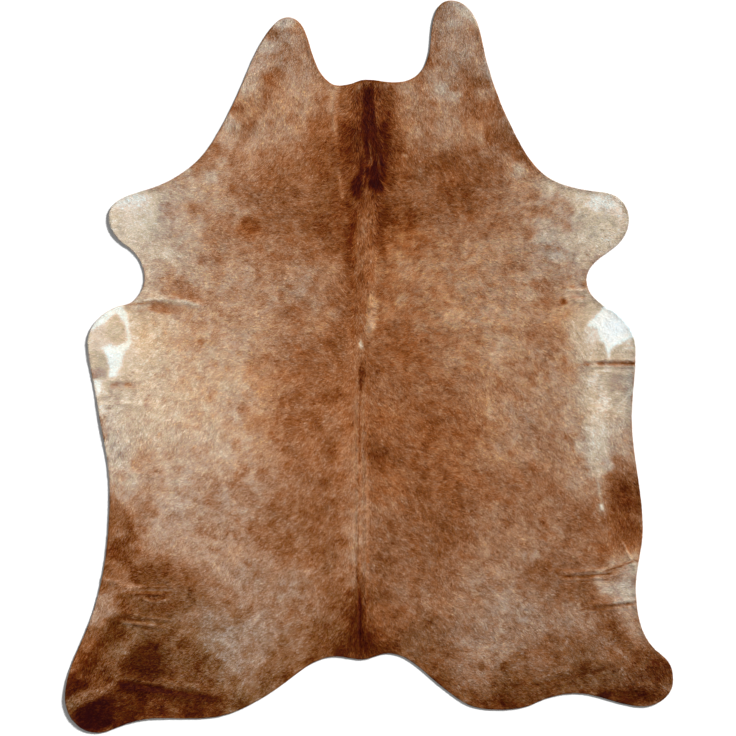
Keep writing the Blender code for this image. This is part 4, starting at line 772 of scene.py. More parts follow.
# Marks with a drawn outline: tone, strength, width of the soft border, corners.
SHAPES = (
    ("right elbow white", 245, 1.00, 0.90,
     ((70.2, 19.3), (69.6, 17.2), (68.4, 15.8), (66.9, 14.2), (65.4, 12.8), (66.3, 12.2),
      (67.8, 12.8), (68.7, 11.5), (69.0, 9.8), (69.3, 8.2), (70.5, 6.8), (71.1, 5.2),
      (71.7, 2.9), (72.1, 2.9), (72.6, 5.2), (73.5, 6.1), (75.3, 6.8), (76.8, 7.8),
      (78.0, 8.5), (79.2, 8.8), (80.7, 8.5), (82.8, 11.2), (81.3, 15.8), (78.3, 19.3),
      (72.3, 21.1))),
    ("left elbow beige", 206, 1.00, 0.54,
     ((-85.5, 9.4), (-83.4, 10.3), (-81.6, 11.8), (-79.8, 12.4), (-78.6, 13.0),
      (-78.3, 11.2), (-78.6, 9.2), (-79.2, 7.3), (-80.7, 6.1), (-83.1, 5.5), (-85.5, 5.2))),
    ("left elbow white rim", 243, 1.00, 0.60,
     ((-85.5, 9.8), (-84.9, 13.7), (-81.9, 17.2), (-78.3, 19.6), (-75.3, 19.9),
      (-73.5, 18.8), (-72.6, 16.3), (-72.0, 13.7), (-71.7, 10.7), (-71.5, 7.0), (-72.6, 7.0),
      (-72.3, 10.0), (-72.9, 12.4), (-74.1, 14.2), (-75.6, 15.8), (-77.1, 15.4),
      (-78.3, 14.2), (-79.8, 13.0), (-81.6, 12.2), (-83.4, 10.7))),
    ("left elbow tan", 190, 1.00, 0.66,
     ((-78.0, 14.2), (-76.8, 15.1), (-75.9, 16.1), (-75.0, 14.8), (-74.1, 14.2),
      (-73.2, 13.3), (-72.6, 11.8), (-72.3, 10.0), (-72.3, 8.8), (-73.5, 7.9), (-74.4, 7.0),
      (-75.6, 7.0), (-77.1, 7.9), (-78.0, 9.2), (-78.3, 11.2), (-78.3, 13.0))),
    ("left elbow white fork", 244, 1.00, 0.72,
     ((-79.8, 6.1), (-77.7, 7.0), (-75.6, 6.1), (-73.5, 7.0), (-72.3, 8.2), (-71.5, 7.3),
      (-72.0, 5.8), (-73.2, 4.6), (-73.8, 2.9), (-74.2, 1.1), (-74.8, -0.8), (-75.6, -2.9),
      (-78.3, -2.9), (-78.5, -0.8), (-78.1, 1.1), (-78.5, 2.9), (-79.2, 4.6))),
    ("left elbow grey", 184, 1.00, 0.60,
     ((-84.9, 4.3), (-83.4, 4.6), (-80.7, 5.2), (-79.5, 4.0), (-78.6, 2.5), (-78.3, 0.4),
      (-78.3, -1.3), (-78.9, -3.1), (-81.3, -3.4), (-84.9, -3.4))),
    ("left elbow brown edge", 156, 0.80, 0.72,
     ((-83.1, -0.4), (-80.7, -0.1), (-78.9, -0.8), (-78.9, -3.1), (-81.9, -3.4), (-83.4, -3.1))),
    ("left elbow pale bit", 236, 0.90, 0.48,
     ((-83.7, -3.8), (-80.4, -3.8), (-80.1, -5.8), (-81.0, -8.8), (-83.1, -8.8))),
    ("left armpit rust", 113, 0.90, 0.66,
     ((-64.8, 19.3), (-62.7, 19.8), (-60.9, 19.1), (-59.1, 18.1), (-56.7, 17.8),
      (-56.7, 16.6), (-59.7, 16.1), (-62.7, 16.6), (-65.7, 16.9), (-65.7, 18.1))),
    ("left armpit upper rust", 124, 0.80, 1.20,
     ((-61.8, 23.2), (-59.1, 25.3), (-54.9, 25.6), (-51.9, 23.2), (-50.7, 20.6),
      (-54.3, 20.2), (-58.5, 21.1))),
    ("mane left upper", 90, 0.70, 1.20,
     ((-8.4, 84.5), (-5.1, 84.5), (-4.8, 74.8), (-7.5, 74.2))),
    ("mane left inner", 71, 0.80, 0.90,
     ((-4.8, 83.2), (-1.8, 83.2), (-1.8, 73.6), (-4.8, 73.6))),
    ("mane left middle", 50, 0.80, 1.20,
     ((-8.7, 73.0), (-1.8, 73.6), (-1.8, 60.8), (-6.9, 60.4), (-8.4, 65.2))),
    ("mane right upper", 63, 0.80, 0.90,
     ((2.7, 83.0), (6.3, 82.6), (6.6, 75.8), (5.7, 73.6), (2.1, 73.6), (2.1, 80.8))),
    ("mane right middle", 37, 0.90, 1.20,
     ((2.1, 73.6), (6.0, 73.6), (6.9, 68.8), (6.3, 62.8), (5.1, 58.6), (5.1, 53.9),
      (2.1, 54.4), (2.1, 65.2))),
    ("mane core", 28, 1.00, 0.66,
     ((-1.8, 84.5), (1.2, 84.5), (1.8, 80.2), (2.1, 75.8), (2.1, 69.8), (2.7, 65.2),
      (2.1, 61.6), (-0.9, 61.0), (-1.5, 65.2), (-2.1, 69.8), (-2.1, 74.2), (-1.8, 78.8))),
    ("mane core low", 26, 1.00, 0.90,
     ((-2.1, 63.4), (2.1, 63.4), (5.1, 62.2), (5.1, 56.9), (4.5, 52.6), (2.1, 52.0),
      (0.3, 53.2), (-2.7, 53.2), (-5.1, 51.4), (-5.7, 53.9), (-3.9, 57.4))),
    ("mane core foot", 15, 1.00, 0.54,
     ((-0.3, 56.2), (1.8, 56.9), (4.2, 55.9), (4.2, 54.1), (1.8, 53.2), (-0.3, 54.4))),
    ("mane left tip", 26, 0.90, 0.90,
     ((-4.8, 51.4), (-5.4, 53.2), (-3.6, 55.6), (-2.1, 54.4), (-2.1, 50.9), (-3.6, 49.6))),
    ("mane right outer", 66, 0.60, 1.20,
     ((5.7, 80.2), (7.8, 79.0), (8.1, 65.2), (7.5, 57.8), (5.7, 54.8), (5.7, 65.2),
      (6.3, 72.8))),
    ("withers dark left", 57, 0.90, 0.90,
     ((-6.6, 50.2), (-4.2, 50.9), (-3.9, 41.9), (-5.1, 35.2), (-5.7, 31.6), (-7.2, 31.6),
      (-7.5, 38.2), (-6.3, 43.6))),
    ("withers dark right", 54, 0.85, 0.90,
     ((2.7, 50.9), (5.1, 51.4), (6.6, 48.4), (6.3, 44.2), (4.5, 40.6), (2.7, 39.4),
      (2.1, 43.6), (2.4, 47.9))),
    ("withers dark right low", 82, 0.60, 1.20,
     ((2.1, 39.4), (4.8, 39.4), (5.1, 31.6), (2.4, 31.6))),
    ("back pale ridge", 142, 0.90, 0.90,
     ((-0.3, 22.9), (1.5, 22.9), (2.4, 17.2), (2.4, 11.2), (0.6, 9.4), (-1.5, 9.8),
      (-0.6, 14.8))),
    ("back blob", 63, 1.00, 0.66,
     ((-3.3, -1.3), (-1.8, -0.1), (-0.9, -1.9), (-1.5, -4.6), (-3.0, -5.0))),
    ("left shoulder orange spot", 91, 1.00, 0.75,
     ((-37.8, 44.5), (-35.4, 45.4), (-32.4, 44.9), (-31.8, 42.4), (-33.9, 40.9),
      (-36.3, 40.0), (-37.8, 41.2))),
    ("left hock pale edge", 131, 1.00, 1.20,
     ((-77.7, -66.1), (-75.0, -66.8), (-77.1, -72.8), (-79.5, -77.0), (-83.7, -77.5),
      (-84.9, -75.8), (-81.3, -70.3))),
    ("left hock pale knot", 119, 0.90, 1.20,
     ((-75.3, -60.1), (-72.9, -59.5), (-72.3, -63.8), (-69.0, -65.2), (-68.7, -67.3),
      (-73.5, -67.3), (-75.3, -65.5))),
    ("left hock dark", 79, 0.90, 1.35,
     ((-71.1, -60.1), (-65.7, -59.2), (-60.9, -61.3), (-60.3, -65.0), (-65.7, -65.8),
      (-70.8, -65.0))),
    ("left hock brown", 81, 0.90, 1.35,
     ((-73.8, -68.0), (-67.8, -68.0), (-60.9, -68.0), (-59.7, -71.5), (-62.7, -75.1),
      (-71.1, -74.5), (-74.7, -71.5))),
    ("left shank dark stripe", 62, 1.00, 1.65,
     ((-78.3, -75.8), (-73.5, -75.8), (-74.1, -80.0), (-79.5, -85.3), (-84.3, -90.1),
      (-87.9, -90.1), (-85.5, -85.3), (-81.3, -81.1))),
    ("left shank edge", 91, 1.00, 1.20,
     ((-83.1, -78.1), (-78.9, -77.5), (-81.3, -81.8), (-85.5, -86.0), (-88.5, -90.8),
      (-91.5, -90.8), (-88.5, -84.1))),
    ("left shank pale", 88, 1.00, 1.50,
     ((-73.5, -80.5), (-69.3, -78.1), (-67.5, -81.8), (-72.9, -87.8), (-77.1, -90.1),
      (-80.7, -90.1), (-77.1, -85.3))),
    ("left hind dark", 44, 1.00, 2.40,
     ((-72.9, -89.0), (-69.9, -84.1), (-65.7, -81.1), (-63.3, -83.2), (-61.8, -87.8),
      (-62.7, -92.5), (-69.3, -93.1), (-74.1, -92.0))),
    ("left toe dark", 38, 1.00, 1.35,
     ((-90.9, -96.1), (-88.5, -94.0), (-83.7, -93.8), (-84.3, -96.1), (-88.5, -98.0),
      (-91.5, -99.1))),
    ("left hind band", 29, 1.00, 0.90,
     ((-75.6, -94.3), (-68.7, -94.6), (-62.1, -95.8), (-60.9, -97.6), (-65.7, -98.0),
      (-74.7, -97.3))),
    ("left hind band low", 44, 0.90, 0.90,
     ((-61.5, -96.5), (-53.7, -97.6), (-44.1, -98.8), (-44.1, -101.0), (-53.7, -100.0),
      (-61.5, -98.5))),
    ("left toe", 23, 1.00, 1.50,
     ((-88.5, -103.3), (-84.3, -100.0), (-79.5, -98.8), (-75.9, -100.0), (-75.6, -104.0),
      (-78.3, -107.5), (-81.9, -110.0), (-87.3, -108.8))),
    ("left toe side", 46, 0.90, 1.20,
     ((-76.5, -98.5), (-70.5, -99.1), (-69.9, -103.3), (-73.5, -105.8), (-77.1, -107.0))),
)

# Narrow marks along creases, scars and the spine: ends, bow, half width.
# Along the wrinkles, light lines on crests and lips are painted highlight and
# dark lines in the dents are painted shade; the spine lines, star and scar are
# the hair's own colour.
STREAKS = (
    # name                         x0     y0     x1     y1    bow  width tone strength
    ("neck ridge light",             -10.2,   83.8,  -11.4,   74.8,  -0.3,  0.84,  162, 0.65),
    ("neck ridge light mid",         -10.8,   74.2,  -10.5,   69.1,   0.0,  0.66,  146, 0.70),
    ("neck ridge light low",          -9.6,   59.2,   -7.8,   49.9,   0.1,  0.60,  136, 0.90),
    ("neck ridge light thin",        -10.5,   68.2,   -9.6,   59.2,   0.0,  0.36,   92, 0.60),
    ("neck ridge shade",              -8.4,   83.2,   -6.3,   50.2,  -1.5,  0.54,   62, 0.40),
    ("mane strand a",                  2.1,   82.6,    3.0,   71.0,  -0.4,  0.36,   92, 0.80),
    ("mane strand b",                  3.0,   70.6,    4.5,   57.4,   0.6,  0.27,   84, 0.60),
    ("mane strand c",                  0.6,   63.1,    0.6,   60.1,   0.1,  0.36,  180, 0.85),
    ("mane strand c top",              0.0,   68.2,    0.6,   63.8,   0.0,  0.27,  100, 0.70),
    ("mane strand h",                 -1.5,   58.6,   -1.8,   54.4,   0.0,  0.33,  120, 0.75),
    ("mane strand i",                 -0.6,   54.4,   -1.2,   50.5,   0.1,  0.30,  126, 0.75),
    ("mane strand j",                  2.7,   56.9,    5.7,   52.6,   0.3,  0.30,  104, 0.70),
    ("mane strand k",                  1.5,   65.2,    3.3,   58.6,   0.4,  0.27,   96, 0.70),
    ("mane strand l",                  3.9,   80.8,    2.4,   77.8,   0.1,  0.33,  116, 0.70),
    ("neck pink spot",                 9.6,   63.4,   11.4,   63.4,   0.1,  0.45,  182, 0.75),
    ("mane strand d",                 -1.8,   65.2,   -1.5,   56.2,   0.3,  0.30,   92, 0.60),
    ("mane strand e",                 -3.3,   65.2,   -3.6,   57.4,   0.3,  0.36,   84, 0.50),
    ("mane strand f",                 -0.3,   58.0,   -0.6,   55.0,   0.0,  0.27,   96, 0.60),
    ("mane strand g",                  0.3,   80.2,    0.3,   68.2,   0.0,  0.24,   56, 0.50),
    ("withers strand left",           -3.6,   50.2,   -3.9,   35.2,   0.0,  0.36,   90, 0.50),
    ("withers strand",                -0.9,   47.9,   -0.9,   23.2,   0.0,  1.20,  106, 0.60),
    ("back left dark",                -5.4,   22.6,   -4.5,    6.8,   0.0,  1.20,   84, 0.60),
    ("back right dark",                2.7,    9.8,    2.1,   -5.2,   0.0,  0.90,   84, 0.50),
    ("back under ridge",              -1.5,    9.4,   -0.6,   -0.1,   0.0,  0.90,  100, 0.50),
    ("back star",                     -3.0,    7.6,   -1.8,    5.8,   0.0,  0.39,  226, 0.85),
    ("back star arm",                 -2.4,    8.2,   -2.7,    5.2,   0.0,  0.30,  206, 0.75),
    ("back star arm b",               -3.3,    6.5,   -1.5,    7.3,   0.0,  0.30,  206, 0.75),
    ("left neck band",               -30.6,   83.8,  -42.3,   61.3,   0.9,  1.20,  116, 0.45),
    ("spine pale border l",           -3.9,   -5.5,   -4.2,  -33.8,   0.0,  0.72,  142, 0.65),
    ("spine pale border r",           -1.8,   -5.5,   -1.8,  -33.8,   0.0,  0.66,  140, 0.60),
    ("spine pale low l",              -4.2,  -33.8,   -4.5,  -62.2,   0.0,  0.72,  142, 0.60),
    ("spine pale low r",              -1.5,  -33.8,   -1.5,  -63.8,   0.0,  0.90,  132, 0.50),
    ("spine line upper",              -2.7,    1.1,   -2.4,   -7.9,   0.0,  0.45,   60, 0.85),
    ("spine line middle",             -2.7,   -7.3,   -3.0,  -30.8,   0.0,  0.30,   74, 0.80),
    ("spine line",                    -3.0,  -30.8,   -3.0,  -44.2,   0.0,  0.30,   86, 0.75),
    ("spine line lower",              -3.0,  -44.2,   -3.3,  -57.8,   0.0,  0.30,  100, 0.60),
    ("spine line start",              -3.3,  -57.1,   -3.0,  -68.0,   0.0,  0.48,   70, 0.75),
    ("spine line low",                -3.0,  -66.1,   -2.4,  -86.5,   0.1,  0.66,   30, 0.90),
    ("spine low pale l",              -5.7,  -66.8,   -6.3,  -77.2,   0.0,  0.60,   96, 0.40),
    # painted highlight on the left armpit wrinkle's crest and painted shade along its dent
    ("left armpit ridge light",      -68.1,   20.2,  -50.1,   18.4,   0.9,  0.45,  202, 0.70),
    ("left armpit ridge top",        -70.5,   20.2,  -63.3,   21.4,   0.3,  0.30,  192, 0.50),
    ("left armpit dark a",           -72.0,   19.3,  -63.0,   20.2,  -0.4,  0.36,  118, 0.85),
    ("left armpit dark b",           -68.1,   20.8,  -63.0,   21.8,   0.0,  0.24,  146, 0.60),
    ("left armpit shade",            -60.3,   17.8,  -54.9,   16.6,   0.0,  0.66,  140, 0.60),
    ("left elbow white line",        -73.2,   17.2,  -71.7,    7.3,  -0.4,  0.42,  244, 0.95),
    ("left elbow streak",            -77.4,   -5.5,  -75.0,   -5.2,   0.0,  0.66,  134, 0.85),
    ("left elbow streak b",          -73.5,   -5.2,  -71.1,   -5.2,   0.0,  0.66,  130, 0.85),
    ("left belly line",              -80.7,  -11.2,  -68.7,  -10.7,   0.0,  0.24,  196, 0.40),
    # painted highlight on the stifle and hock wrinkles' crests and lips, painted shade in their dents
    ("left stifle fold a",           -80.4,  -63.1,  -75.0,  -64.3,   0.0,  0.36,  138, 0.80),
    ("left stifle fold b",           -68.7,  -66.8,  -59.1,  -66.8,   0.0,  0.39,  130, 0.90),
    ("left stifle knot",             -72.9,  -66.1,  -67.5,  -65.5,   0.1,  0.60,  136, 0.85),
    ("left stifle shade a",          -73.5,  -67.3,  -69.6,  -67.3,   0.0,  0.27,   62, 0.80),
    ("left stifle shade b",          -72.9,  -68.0,  -60.6,  -68.2,   0.0,  0.42,   62, 0.70),
    ("left stifle hook",             -68.7,  -68.2,  -64.5,  -70.6,  -0.3,  0.36,  134, 0.90),
    ("left stifle hook b",           -64.5,  -70.6,  -59.7,  -69.1,  -0.3,  0.33,  126, 0.80),
    ("left hock shade",              -78.0,  -74.8,  -66.9,  -76.3,   0.1,  0.42,   50, 0.90),
    ("left hock fold",               -75.3,  -76.3,  -59.7,  -77.8,   0.1,  0.30,  103, 0.60),
    ("left shank stripe",            -75.9,  -77.5,  -84.9,  -93.1,  -0.9,  0.90,   44, 0.50),
    ("left hind ridge",              -90.3, -102.1,  -75.9,  -94.3,  -0.9,  0.84,   92, 0.80),
    ("left hind ridge top",          -81.9,  -96.8,  -75.9,  -94.0,  -0.3,  0.48,  108, 0.60),
    ("left hind dark band",          -75.3,  -94.3,  -44.7,  -99.1,  -0.6,  0.60,   34, 0.70),
    ("left hind shelf light",        -74.7,  -92.8,  -56.7,  -95.2,  -0.3,  0.36,   84, 0.50),
    # painted highlight and shade along the right armpit, elbow, stifle and hock wrinkles
    ("right armpit line a",           58.8,   23.2,   65.1,   23.2,   0.0,  0.36,  178, 0.60),
    ("right armpit line b",           60.3,   21.1,   65.1,   21.1,   0.0,  0.36,  104, 0.60),
    ("right armpit line c",           61.8,   19.6,   66.9,   19.9,   0.0,  0.36,  182, 0.60),
    ("right elbow crease",            70.5,    1.2,   80.7,    1.3,   0.0,  0.45,  112, 0.75),
    ("right elbow dark l",            68.4,    1.2,   70.5,    1.2,   0.0,  0.66,   82, 0.90),
    ("right elbow dark r",            75.3,    1.3,   80.7,    1.3,   0.0,  0.57,   70, 0.90),
    ("right elbow crease left",       56.1,    0.4,   66.9,    1.1,   0.0,  0.42,  126, 0.50),
    ("right elbow pale",              70.2,   -0.4,   72.6,   -0.4,   0.0,  0.84,  206, 0.75),
    ("right elbow line",              68.1,   -1.6,   72.9,   -1.6,   0.0,  0.33,  140, 0.70),
    ("right elbow diagonal light",    79.5,   -6.1,   73.2,  -13.0,   0.0,  0.60,  206, 0.70),
    ("right belly line",              63.3,  -29.2,   71.1,  -28.9,   0.0,  0.30,  140, 0.50),
    ("right stifle scar white",       69.6,  -40.9,   69.9,  -43.0,   0.0,  0.78,  236, 0.95),
    ("right stifle scar thin",        69.3,  -37.0,   69.9,  -41.2,   0.1,  0.33,  166, 0.70),
    ("right stifle scar tail",        69.3,  -43.9,   68.7,  -46.6,   0.1,  0.36,  150, 0.70),
    ("right stifle scar top",         68.1,  -32.5,   69.3,  -39.8,   0.3,  0.60,  172, 0.70),
    ("right stifle scar",             75.6,  -51.8,   80.1,  -61.9,   0.3,  0.24,  186, 0.70),
    ("right stifle crease",           57.3,  -62.5,   73.5,  -61.9,  -0.3,  0.39,   66, 0.90),
    ("right stifle crease light",     60.3,  -61.6,   69.3,  -61.3,  -0.3,  0.30,  140, 0.60),
    ("right stifle crease under",     60.9,  -63.4,   68.1,  -63.1,  -0.3,  0.36,  128, 0.50),
    ("right stifle rise",             69.6,  -61.9,   81.0,  -57.8,   0.3,  0.36,   78, 0.85),
    ("right stifle tuck",             56.1,  -59.8,   65.1,  -58.0,   0.0,  0.36,   80, 0.75),
    ("right hock crease",             62.7,  -72.8,   80.7,  -70.6,   0.0,  0.39,   82, 0.90),
    ("right hock ridge",              72.9,  -70.6,   80.4,  -69.5,   0.0,  0.36,  172, 0.70),
    ("right hock under",              60.9,  -73.6,   69.3,  -73.3,   0.0,  0.36,  140, 0.50),
    ("right hind line",               47.7,  -95.5,   75.3,  -88.6,  -0.6,  0.39,   48, 0.60),
    ("right neck pink spot",          10.5,   63.4,   11.7,   63.1,   0.0,  0.36,  178, 0.80),
    ("left armpit ridge fade",       -57.9,   20.2,  -50.7,   18.4,   0.1,  0.66,  196, 0.50),
    ("right elbow brown under",       74.7,   -0.4,   80.1,   -0.4,   0.0,  0.78,  150, 0.60),
    ("right armpit knot",             58.5,   20.6,   58.8,   19.9,   0.0,  0.72,   84, 0.80),
)

# Redder (+) and greyer (-) places on top of the tone's own colour.
TINTS = (
    # name                          x      y     rx    ry  angle  tint
    ("rump",                       -2.7,  -81.8,  78.0,  24.0,    0,  -0.8),
    ("left thigh grey",           -44.7,  -83.2,  18.0,  18.0,    0,  -2.2),
    ("right thigh grey",           39.3,  -81.8,  24.0,  18.0,    0,  -1.0),
    ("hips",                       -5.7,  -57.8,  45.0,  12.0,    0,   0.0),
    ("left flank lower",          -46.2,  -44.2,  39.0,  13.5,    0,  -0.5),
    ("tail root",                  -1.2,  -75.8,   6.6,  15.0,    0,   0.8),
    ("spine and back",              4.8,   -0.8,  27.0,  51.0,    0,   1.5),
    ("right back",                 30.3,   -9.8,  21.0,  45.0,    0,   1.3),
    ("left hind leg grey",        -70.2,  -81.8,  16.5,  15.0,    0,  -1.6),
    ("right thigh outer",          64.8,  -93.8,  15.0,   9.0,    0,  -1.2),
    ("withers",                     1.8,   38.2,  12.0,  18.0,    0,   2.2),
    ("neck",                       -4.2,   68.2,  15.0,  15.0,    0,   1.6),
    ("neck right",                  5.7,   68.2,   7.2,  13.2,    0,   1.9),
    ("left chest",                -65.7,    6.8,  15.0,  10.5,    0,   1.6),
    ("left ear",                  -30.3,   89.2,  16.5,  10.2,   70,  -0.9),
    ("right ear",                  26.7,   91.6,  18.6,   9.6,  -80,  -0.9),
    ("left foreleg",              -68.7,   43.6,  12.6,  10.8,    0,  -1.0),
    ("right foreleg",              69.3,   42.8,  12.6,  10.8,    0,  -0.4),
    ("left elbow",                -78.3,    5.2,   7.8,  12.0,    0,  -0.5),
    ("right elbow",                73.5,   11.8,   7.8,   6.6,    0,  -1.6),
    ("right chest",                61.8,    6.8,   7.2,  13.2,    0,   0.8),
    ("left belly strip",          -77.1,  -21.8,   4.8,  15.0,    0,  -0.9),
    ("right belly strip",          70.5,  -18.8,   7.5,  15.0,    0,  -0.4),
    ("left hind foot",            -79.2, -101.2,  15.0,   7.8,    0,  -0.8),
    ("left hock patch",           -79.5,  -71.5,   4.2,   5.4,    0,  -0.6),
    ("left stifle",               -77.1,  -53.2,   4.8,   7.8,    0,  -0.3),
    ("right hock patch",           77.1,  -65.5,   5.4,   5.4,    0,  -0.8),
    ("right stifle",               75.9,  -45.8,   5.4,  10.2,    0,   1.2),
    ("right hind foot",            84.3,  -96.8,  10.2,   6.6,    0,  -0.4),
    ("orange spot",               -35.7,   41.9,   4.2,   3.0,    0,   2.4),
    ("mane rim",                   -0.9,   84.5,   7.8,   1.8,    0,   0.6),
    ("left edge orange",          -84.9,  -85.3,   7.2,   3.0,   58,   1.2),
    ("lower rump left",           -65.7, -106.3,   9.0,   2.4,   10,   0.4),
    ("left ear rust",             -29.1,   85.6,   3.6,   4.2,    0,   1.4),
    ("left ear edge rust",        -38.7,   78.1,   2.7,   2.7,    0,   2.0),
    ("right ear rust",             32.7,   85.6,   4.8,   3.0,    0,   1.4),
    ("right ear root",             33.9,   73.6,   9.0,   9.0,    0,   1.6),
    ("left ear low",              -26.7,   80.2,   7.2,   6.0,    0,   1.2),
    ("left ear tip",              -23.7,  101.2,   5.4,   4.2,    0,  -2.6),
    ("right arm inner",            54.9,   35.2,   6.6,   7.2,    0,  -0.8),
    ("left chest edge",           -68.7,    9.8,   7.8,   6.0,    0,   3.0),
    ("left side",                 -50.7,   -9.8,  18.0,  12.0,    0,   1.6),
    ("left side inner",           -34.2,   -9.8,   9.0,  12.0,    0,   1.6),
    ("right back low",             24.3,  -24.8,  10.8,  12.0,    0,   2.0),
    ("right hip inner",            33.3,  -86.2,   9.0,   6.6,    0,  -0.2),
    ("right thigh low",            53.7,  -85.3,   7.8,   4.8,    0,  -0.2),
    ("left stifle edge",          -78.3,  -52.4,   3.6,   6.0,    0,   0.6),
    ("left elbow brown",          -81.3,   -1.6,   3.6,   2.7,    0,  -0.5),
    ("left elbow tan",            -75.3,   10.9,   3.9,   4.5,    0,   0.6),
    ("right elbow rim",            78.6,   -6.1,   2.4,   7.2,    0,  -1.4),
    ("mane low",                    0.3,   61.6,   7.2,  10.2,    0,   1.6),
    ("left leg hue a",            -37.2, -100.6,   5.1,   5.1,    0,  -2.4),
    ("right neck hue b",           24.9,  108.5,   5.1,   5.1,    0,  -1.9),
    ("left leg hue c",            -90.0, -101.0,   5.1,   5.1,    0,  -1.8),
    ("right rib hue d",            57.6,   14.8,   5.1,   5.1,    0,   2.1),
    ("right neck hue e",           41.4,   72.5,   5.1,   5.1,    0,  -0.5),
    ("right shoulder hue f",       10.8,   40.4,   5.1,   5.1,    0,   3.0),
    ("right shoulder hue g",       24.6,   55.9,   5.1,   5.1,    0,   2.1),
    ("right rump hue h",            7.8,  -74.2,   5.1,   5.1,    0,   1.2),
    ("middle rump hue i",           3.0,  -79.0,   5.1,   5.1,    0,   1.6),
    ("right neck hue j",           35.4,   87.5,   5.1,   5.1,    0,  -1.0),
    ("left neck hue k",           -21.0,  102.1,   5.1,   5.1,    0,   0.5),
    ("right loin hue l",           80.4,  -52.4,   5.1,   5.1,    0,   1.9),
    ("left leg hue m",            -31.5,  -97.0,   5.1,   5.1,    0,  -2.0),
    ("left rump hue n",           -22.8,  -65.8,   5.1,   5.1,    0,  -1.3),
    ("left rump hue o",           -35.7,  -62.2,   5.1,   5.1,    0,  -1.4),
    ("middle shoulder hue p",       4.5,   57.4,   5.1,   5.1,    0,   2.8),
    ("right rump hue q",           22.2,  -70.3,   5.1,   5.1,    0,   1.0),
    ("right loin hue r",            6.9,  -34.4,   5.1,   5.1,    0,   2.3),
    ("middle neck hue s",           0.9,   75.8,   5.1,   5.1,    0,   2.7),
    ("left back hue t",           -40.5,  -10.9,   5.1,   5.1,    0,   0.1),
    ("right leg hue u",            20.1,  -89.2,   5.1,   5.1,    0,   0.6),
    ("right loin hue v",           70.5,  -52.9,   5.1,   5.1,    0,   1.7),
    ("middle back hue w",           5.1,  -16.3,   5.1,   5.1,    0,   2.5),
    ("left neck hue x",           -34.8,   77.8,   5.1,   5.1,    0,   1.3),
    ("right back hue y",           47.7,  -16.9,   5.1,   5.1,    0,  -0.2),
    ("left rib hue z",            -20.1,   23.8,   5.1,   5.1,    0,  -0.3),
    ("right rib hue ab",           14.7,    2.5,   5.1,   5.1,    0,   2.4),
    ("right back hue bb",          69.3,  -12.8,   5.1,   5.1,    0,   1.7),
    ("left back hue cb",          -77.7,  -21.8,   5.1,   5.1,    0,  -0.1),
)

